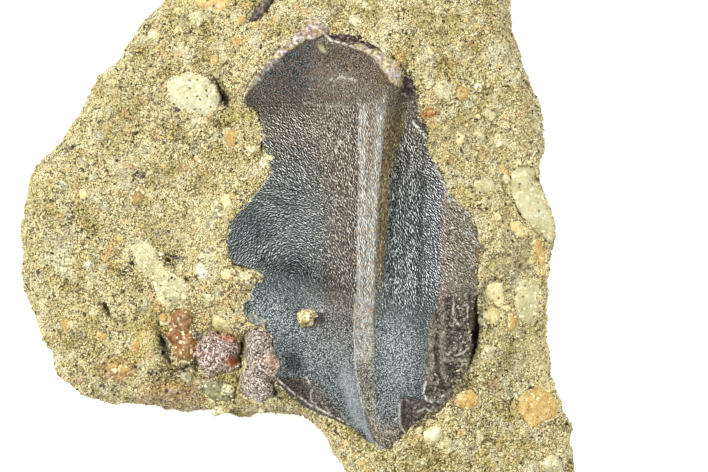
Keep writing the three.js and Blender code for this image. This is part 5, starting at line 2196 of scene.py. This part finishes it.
PEBBLES: tuple[Pebble, ...] = (
    Pebble("cream_pebble", "speckled_cream_stone", SPECKLED_CREAM, Surface.CHIPPED, 0.3,
        outline=((-14.54, 11.6), (-13.9, 12.26), (-12.87, 12.56), (-11.59, 12.38), (-10.56, 11.74),
        (-10.18, 10.72), (-10.44, 9.82), (-11.33, 9.31), (-12.62, 9.56), (-13.9, 9.95), (-14.41, 10.59))),
    Pebble("pale_mudstone_pebble", "pale_mudstone", PALE_MUDSTONE, Surface.CHIPPED, 0.25,
        outline=((-17.0, -0.69), (-16.0, -0.38), (-15.15, -1.31), (-14.85, -2.38), (-12.92, -3.46),
        (-12.77, -4.54), (-13.23, -5.38), (-14.46, -5.62), (-15.23, -4.85), (-15.54, -3.62), (-16.85, -2.23),
        (-17.2, -1.46))),
    Pebble("rim_pebble", "pale_mudstone", GREY_MUDSTONE, Surface.WORN, 0.15, skirt=0.12,
        outline=((12.1, 4.88), (12.77, 5.37), (13.98, 5.3), (14.4, 3.92), (15.0, 2.38), (15.4, 1.23),
        (15.55, 0.1), (15.3, -0.6), (14.31, 0.08), (13.54, 0.85), (12.77, 1.81), (12.19, 3.15))),
    Pebble("grey_rim_pebble", "pale_mudstone", GREY_MUDSTONE, Surface.WORN, 0.15, outline=((12.58, -3.58),
        (13.35, -3.19), (14.31, -3.48), (14.4, -4.92), (14.21, -6.27), (13.73, -6.85), (12.77, -6.65),
        (12.48, -5.31), (12.38, -4.35))),
    Pebble("corner_pebble", "pale_mudstone", PALE_MUDSTONE, Surface.CHIPPED, 0.2, outline=((14.5, -17.4),
        (15.1, -16.8), (15.8, -17.0), (16.2, -17.8), (16.1, -18.4), (15.1, -18.5), (14.5, -18.0))),
    Pebble("red_chert_pebble", "red_chert", RED_CHERT, Surface.CHIPPED, 0.45, shore=0.16, edge_roll=0.2,
        outline=((-14.0, -5.75), (-13.54, -5.5), (-12.6, -5.7), (-12.35, -6.4), (-12.75, -7.1),
        (-12.2, -7.9), (-12.1, -9.0), (-12.6, -9.75), (-13.3, -9.65), (-14.1, -9.2), (-14.35, -8.3),
        (-14.75, -7.5), (-14.2, -6.9), (-14.2, -6.35)), second=(Spot(-13.35, -6.35, 0.85, 0.8, 0, 0.6),),
        humps=(Spot(-13.4, -6.4, 1.0, 0.9, 0, 0.5), Spot(-13.2, -8.4, 0.9, 1.5, 0, 0.3)),
        pits=(Spot(-13.5, -7.35, 1.0, 0.2, -30, 0.5), Spot(-13.2, -6.7, 0.7, 0.14, 25, 0.35),
        Spot(-13.1, -8.0, 0.7, 0.15, -60, 0.35))),
    Pebble("rusty_nodule", "rusty_ironstone", RUSTY_IRONSTONE, Surface.NODULAR, 0.7, shore=0.14,
        edge_roll=0.25, outline=((-11.7, -7.75), (-10.9, -7.2), (-9.9, -7.45), (-8.9, -7.7), (-8.6, -8.6),
        (-8.95, -9.3), (-8.7, -10.1), (-9.5, -10.65), (-10.3, -10.55), (-11.1, -11.05), (-11.9, -10.5),
        (-12.1, -9.7), (-12.55, -9.2), (-12.0, -8.4)), second=(Spot(-9.4, -9.7, 0.5, 0.4, 0, 0.9),
        Spot(-9.6, -7.9, 0.9, 0.25, -10, 0.7)), humps=(Spot(-10.6, -8.6, 1.1, 0.9, 0, 0.5),
        Spot(-9.7, -8.0, 0.6, 0.5, 0, 0.4), Spot(-10.8, -10.0, 0.7, 0.5, 0, 0.4)),
        pits=(Spot(-9.2, -9.6, 0.35, 0.45, 0, 1.3),)),
    Pebble("purple_nodule", "purple_ironstone", PURPLE_IRONSTONE, Surface.NODULAR, 0.8, shore=0.14,
        edge_roll=0.25, outline=((-8.5, -7.6), (-7.9, -7.1), (-7.0, -7.15), (-6.35, -7.55), (-6.05, -8.3),
        (-5.8, -9.1), (-5.45, -10.0), (-5.6, -10.9), (-6.15, -11.35), (-6.2, -12.3), (-6.9, -12.95),
        (-7.7, -12.75), (-8.45, -12.4), (-8.95, -11.46), (-8.7, -10.69), (-8.2, -10.2), (-8.45, -9.3),
        (-8.35, -8.5)), second=(Spot(-6.3, -9.8, 0.6, 0.9, 0, 0.5),),
        humps=(Spot(-7.4, -8.1, 0.9, 0.7, 0, 0.8), Spot(-6.3, -9.7, 0.7, 1.0, 0, 0.7),
        Spot(-7.4, -11.7, 0.9, 0.9, 0, 0.8)), pits=(Spot(-6.7, -11.0, 0.9, 0.22, -30, 1.4),
        Spot(-8.2, -9.8, 0.3, 0.9, 20, 1.0))),
    Pebble("orange_clast", "orange_sandstone", ORANGE_SANDSTONE, Surface.GRAINY, 0.12,
        outline=((12.77, -12.42), (13.25, -11.85), (14.31, -11.65), (15.37, -12.13), (15.85, -13.1),
        (15.75, -13.87), (14.88, -14.35), (14.02, -14.92), (13.35, -14.54), (12.67, -13.58))),
    Pebble("small_orange_clast", "orange_sandstone", BRIGHT_ORANGE, Surface.GRAINY, 0.15,
        outline=((9.02, -11.75), (9.6, -12.45), (9.65, -13.1), (8.73, -13.45), (7.95, -13.15), (7.8, -12.55),
        (8.4, -12.1))),
    Pebble("white_pebble", "white_quartz", WHITE_QUARTZ, Surface.CHIPPED, 0.45, outline=((5.62, -14.77),
        (6.31, -14.54), (6.85, -14.85), (6.77, -15.54), (6.23, -16.03), (5.54, -15.85), (5.2, -15.31))),
    Pebble("yellow_pebble", "yellow_stone", LEMON_STONE, Surface.CHIPPED, 0.15, outline=((10.27, -3.67),
        (11.42, -3.58), (11.65, -4.35), (11.62, -5.4), (11.04, -5.5), (10.46, -4.92), (10.04, -4.35))),
    Pebble("small_yellow_pebble", "yellow_stone", DULL_YELLOW_STONE, Surface.CHIPPED, 0.15,
        outline=((9.79, -5.5), (10.46, -5.31), (11.23, -5.79), (11.33, -6.37), (10.94, -6.85),
        (10.37, -6.56), (9.79, -6.08))),
    Pebble("top_pebble", "yellow_stone", BUFF_STONE, Surface.CHIPPED, 0.3, outline=((-12.5, 18.3),
        (-11.9, 17.6), (-10.9, 17.4), (-9.8, 17.6), (-9.4, 18.4), (-10.2, 19.2), (-11.6, 19.2))),
    Pebble("amber_chip", "amber_chert", AMBER_CHERT, Surface.CHIPPED, 0.4, outline=((5.1, 9.4), (5.3, 9.85),
        (5.9, 10.0), (6.5, 9.75), (6.45, 9.35), (5.9, 9.1), (5.35, 9.05))),
    Pebble("bone_splinter", "fossil_bone", FOSSIL_BONE, Surface.CHIPPED, lifted=0.5),
    Pebble("sand_crumb", "loose_sand", LOOSE_SAND, Surface.NODULAR, cell=0.1),
)

# Sand that fills the tooth's notch and clings to its lower left lobe.
FILLS: tuple[Pebble, ...] = (
    Pebble("sandstone_matrix", "sandstone", NOTCH_SAND, Surface.NODULAR, 0.5, name="notch-sand", skirt=0.12,
        outline=((-9.6, -2.3), (-8.6, -2.5), (-7.6, -2.55), (-6.9, -2.9), (-6.95, -3.5), (-7.5, -3.75),
        (-8.2, -4.4), (-9.3, -4.2))),
    Pebble("sandstone_matrix", "sandstone", GREY_CRUST, Surface.NODULAR, 0.3, name="lobe-sand", skirt=0.12,
        outline=((-8.3, -6.0), (-7.7, -5.9), (-7.1, -6.2), (-6.6, -6.5), (-6.8, -7.1), (-7.5, -7.15),
        (-8.2, -6.8))),
)


def inlay(name: str, finish: Finish, outline: Line) -> Pebble:
    """A small pebble that the frame leaves out, set flush into its stone."""
    return Pebble("sandstone_matrix", "sandstone", finish, Surface.CHIPPED, 0.14, outline, shore=0.15,
        name=name)


INLAYS: tuple[Pebble, ...] = (
    inlay("orange-strip", ORANGE_SANDSTONE, ((14.0, -0.2), (14.5, -0.25), (14.75, -1.2), (14.85, -2.4),
        (14.75, -3.1), (14.4, -3.0), (14.15, -1.8), (13.95, -0.9))),
    inlay("orange-patch", HONEY_STONE, ((12.0, 1.1), (12.9, 1.25), (13.4, 0.7), (13.55, -0.1), (12.9, -0.2),
        (12.15, 0.3))),
    inlay("orange-drop", ORANGE_SANDSTONE, ((12.0, -5.9), (12.5, -5.95), (12.7, -6.6), (12.45, -7.4),
        (11.9, -7.3), (12.05, -6.6))),
    inlay("orange-oval", ORANGE_SANDSTONE, ((-9.9, 8.2), (-9.25, 8.3), (-9.0, 7.6), (-9.1, 6.9),
        (-9.75, 6.85), (-10.05, 7.5))),
    inlay("orange-left", OCHRE_STONE, ((-16.85, 4.1), (-16.35, 4.0), (-16.1, 3.4), (-16.4, 2.6),
        (-17.0, 2.3), (-17.2, 3.1))),
    inlay("orange-top", ORANGE_SANDSTONE, ((7.8, 11.5), (8.4, 11.7), (9.0, 11.3), (8.9, 10.6), (8.2, 10.4),
        (7.75, 10.8))),
    inlay("pale-right", GREY_MUDSTONE, ((9.2, 4.2), (9.9, 4.45), (10.8, 4.3), (10.95, 3.6), (10.0, 3.2),
        (9.3, 3.6))),
    inlay("pale-low", YELLOW_STONE, ((-10.95, -6.0), (-10.1, -6.15), (-9.4, -7.0), (-9.8, -7.35),
        (-10.8, -7.15))),
    inlay("chert-shoulder", LEMON_STONE, ((-15.05, -6.0), (-14.4, -5.85), (-14.05, -6.4), (-14.35, -7.0),
        (-15.0, -6.95))),
    inlay("pale-upper", PALE_MUDSTONE, ((6.1, 11.7), (7.0, 12.05), (7.6, 11.9), (7.5, 11.0), (7.3, 10.45),
        (6.5, 10.5), (6.0, 11.0))),
    inlay("white-drop", PEARL_STONE, ((-12.2, -2.1), (-11.7, -2.0), (-11.3, -2.7), (-11.2, -3.3),
        (-11.8, -3.35), (-12.3, -2.8))),
    inlay("grey-low", OLIVE_STONE, ((-11.6, -11.3), (-10.4, -11.1), (-9.5, -11.6), (-9.1, -12.4),
        (-9.9, -12.9), (-11.1, -12.7), (-11.8, -12.1))),
    inlay("pale-top", PALE_MUDSTONE, ((-12.7, 17.3), (-12.0, 17.5), (-11.6, 16.9), (-11.9, 16.2),
        (-12.6, 16.3))),
    inlay("pale-edge", PALE_MUDSTONE, ((-15.9, 16.0), (-15.2, 16.1), (-14.9, 15.5), (-15.4, 15.1),
        (-16.0, 15.3))),
)

SMALL_CLASTS: tuple[SmallClasts, ...] = (
    SmallClasts("orange-clasts", ORANGE_SANDSTONE, ((-22.2, -6.8, 0.9), (-9.4, 3.1, 0.7), (-18.1, -0.2, 0.9),
        (-12.1, 5.9, 0.7), (-19.0, 8.2, 0.5), (9.9, 6.1, 0.5), (-17.8, -10.2, 0.9), (-18.6, -10.0, 0.8),
        (-16.9, -8.5, 0.9), (-8.7, 16.6, 0.8), (-7.6, 16.2, 0.7), (-10.8, 13.5, 0.8), (-8.9, 14.9, 0.8),
        (-19.4, -7.6, 0.8), (-14.75, -6.3, 0.8)), 4, 37),
    SmallClasts("pale-clasts", PALE_MUDSTONE, ((11.2, 7.4, 0.8), (-22.0, -1.9, 0.9), (-16.8, 5.6, 0.6),
        (5.0, -15.0, 0.55), (-20.4, -3.8, 0.7), (-8.5, -3.1, 0.8), (-7.8, 6.7, 0.8)), 24, 32),
    SmallClasts("yellow-clasts", YELLOW_STONE, ((10.9, 1.4, 0.7), (8.0, 7.6, 1.1), (-20.9, 3.2, 0.7)), 14,
        33),
    SmallClasts("grey-clasts", GREY_CLAST, ((-11.0, 1.0, 1.0), (-20.6, -2.2, 0.8), (-9.8, -11.9, 1.0)), 22,
        34),
    SmallClasts("dark-clasts", FOSSIL_BONE, ((-21.7, 6.8, 0.5), (-16.4, 4.7, 0.45), (-21.6, 1.5, 0.4),
        (-24.4, -2.9, 0.4), (-13.8, -1.7, 0.4), (-12.0, -7.6, 0.6)), 16, 35, 0.2, 0.42),
)

SAND: tuple[SandGrains, ...] = (
    SandGrains(20000, 0.09, 0.26, 21),
    SandGrains(20000, 0.09, 0.26, 22),
    SandGrains(20000, 0.1, 0.34, 23),
)


# ---------------------------------------------------------------- the studio


@dataclass
class Studio:
    """A white table, a soft light from the left and a camera that looks straight down."""

    view_width: float = 54.46
    lens: float = 300.0
    sensor: float = 36.0
    focus_height: float = 12.4

    def camera(self, bench: Bench) -> None:
        """Hangs the camera over the middle of the tooth."""
        data = bpy.data.cameras.new("Camera")
        data.lens = self.lens
        data.sensor_width = self.sensor
        data.clip_start = 0.001
        camera = bpy.data.objects.new("Camera", data)
        distance = self.view_width * self.lens / self.sensor
        place = bench.origin + np.array([0, 0, self.focus_height + distance])
        camera.location = place * MM
        bpy.context.scene.collection.objects.link(camera)
        bpy.context.scene.camera = camera

    def floor(self) -> None:
        """Lays the white table."""
        mesh = bpy.data.meshes.new("floor")
        size = 1.5
        corners = [(-size, -size, 0), (size, -size, 0), (size, size, 0), (-size, size, 0)]
        mesh.from_pydata(corners, [], [(0, 1, 2, 3)])
        floor = bpy.data.objects.new("floor", mesh)
        bpy.context.scene.collection.objects.link(floor)
        recipe = Recipe("white_table")
        glow = {"Emission_Color": linear((255, 255, 255)), "Emission_Strength": 0.7}
        recipe.finish(Base_Color=linear((240, 240, 240)), Roughness=0.9, **glow)
        mesh.materials.append(recipe.material)

    def light(self, name: str, place: tuple[float, float, float], size: float, power: float) -> None:
        """Hangs a square softbox that faces the specimen.

        Args:
            name: its name.
            place: where it hangs, in metres.
            size: its side, in metres.
            power: in watts.
        """
        data = bpy.data.lights.new(name, "AREA")
        data.size = size
        data.energy = power
        lamp = bpy.data.objects.new(name, data)
        lamp.location = place
        lamp.rotation_euler = (-Vector(place)).to_track_quat("-Z", "Y").to_euler()
        bpy.context.scene.collection.objects.link(lamp)

    def build(self, bench: Bench) -> None:
        """Sets up camera, table and lights."""
        scene = bpy.context.scene
        scene.view_settings.view_transform = "Standard"
        world = bpy.data.worlds.new("Studio")
        world.use_nodes = True
        background = world.node_tree.nodes["Background"]
        background.inputs["Color"].default_value = (1, 1, 1, 1)
        background.inputs["Strength"].default_value = 0.46
        scene.world = world
        self.camera(bench)
        self.floor()
        self.light("Key softbox", (-0.44, 0.2, 0.6), 0.28, 6.2)
        self.light("Fill softbox", (0.5, 0.1, 0.6), 0.6, 2.8)


def shore(pebble: Form, marks: Iterable[str]) -> Form:
    """A pebble marked as ground for clinging sand, open only near its border.

    Args:
        pebble: the pebble.
        marks: the marks that the sand reads.

    Returns:
        The same mesh with those marks.
    """
    values = {name: np.zeros(len(pebble.points)) for name in marks}
    values["open"] = 1 - pebble.marks["inside"]
    return Form(pebble.points, pebble.faces, values)


def main() -> None:
    """Builds the pieces in order and reports each."""
    logging.basicConfig(level=logging.INFO, format="%(message)s")
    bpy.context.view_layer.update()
    bench = Bench(frame["nodes"])
    Studio().build(bench)

    outline = Tooth().outline(bench)
    crown = Tooth().build(bench, outline)
    bench.place("crown", crown, "tooth", "tooth_enamel", EnamelFinish())

    sandstone = Sandstone()
    stone = sandstone.build(bench, outline, crown.tree(), (*PEBBLES, *INLAYS))
    stone_tree = stone.tree()
    both = Form(stone.points, stone.faces).joined([Form(crown.points, crown.faces)]).tree()
    let_in = [crown]
    for pebble in (*PEBBLES, *FILLS, *INLAYS):
        form = pebble.build(bench, both if pebble in FILLS else stone_tree, sandstone.shaded)
        bench.place(pebble.piece, form, None if pebble.name else pebble.node, pebble.slot, pebble.finish)
        if pebble.node != "sand_crumb":
            let_in.append(form)

    plain = [Form(form.points, form.faces) for form in (stone, *let_in)]
    stone.marks["open"] = sandstone.open_sky(stone, plain[1].joined(plain[2:]).tree())
    bench.place("stone", stone, "sandstone_matrix", "sandstone", SandstoneFinish())
    skin = plain[0].joined(plain[1:]).tree()
    for clasts in SMALL_CLASTS:
        bench.place(clasts.name, clasts.build(stone, skin), None, "sandstone", clasts.finish)
    for number, grains in enumerate(SAND, 1):
        bench.place(f"sand-{number}", grains.build(stone), None, "sandstone", GrainFinish())
    shores = [shore(form, stone.marks) for form in let_in]
    clinging = SandGrains(3600, 0.09, 0.26, 24, wall_share=0.0)
    form = clinging.build(shores[0].joined(shores[1:]))
    bench.place("clinging-sand", form, None, "sandstone", GrainFinish())


if __name__ == "__main__":
    main()
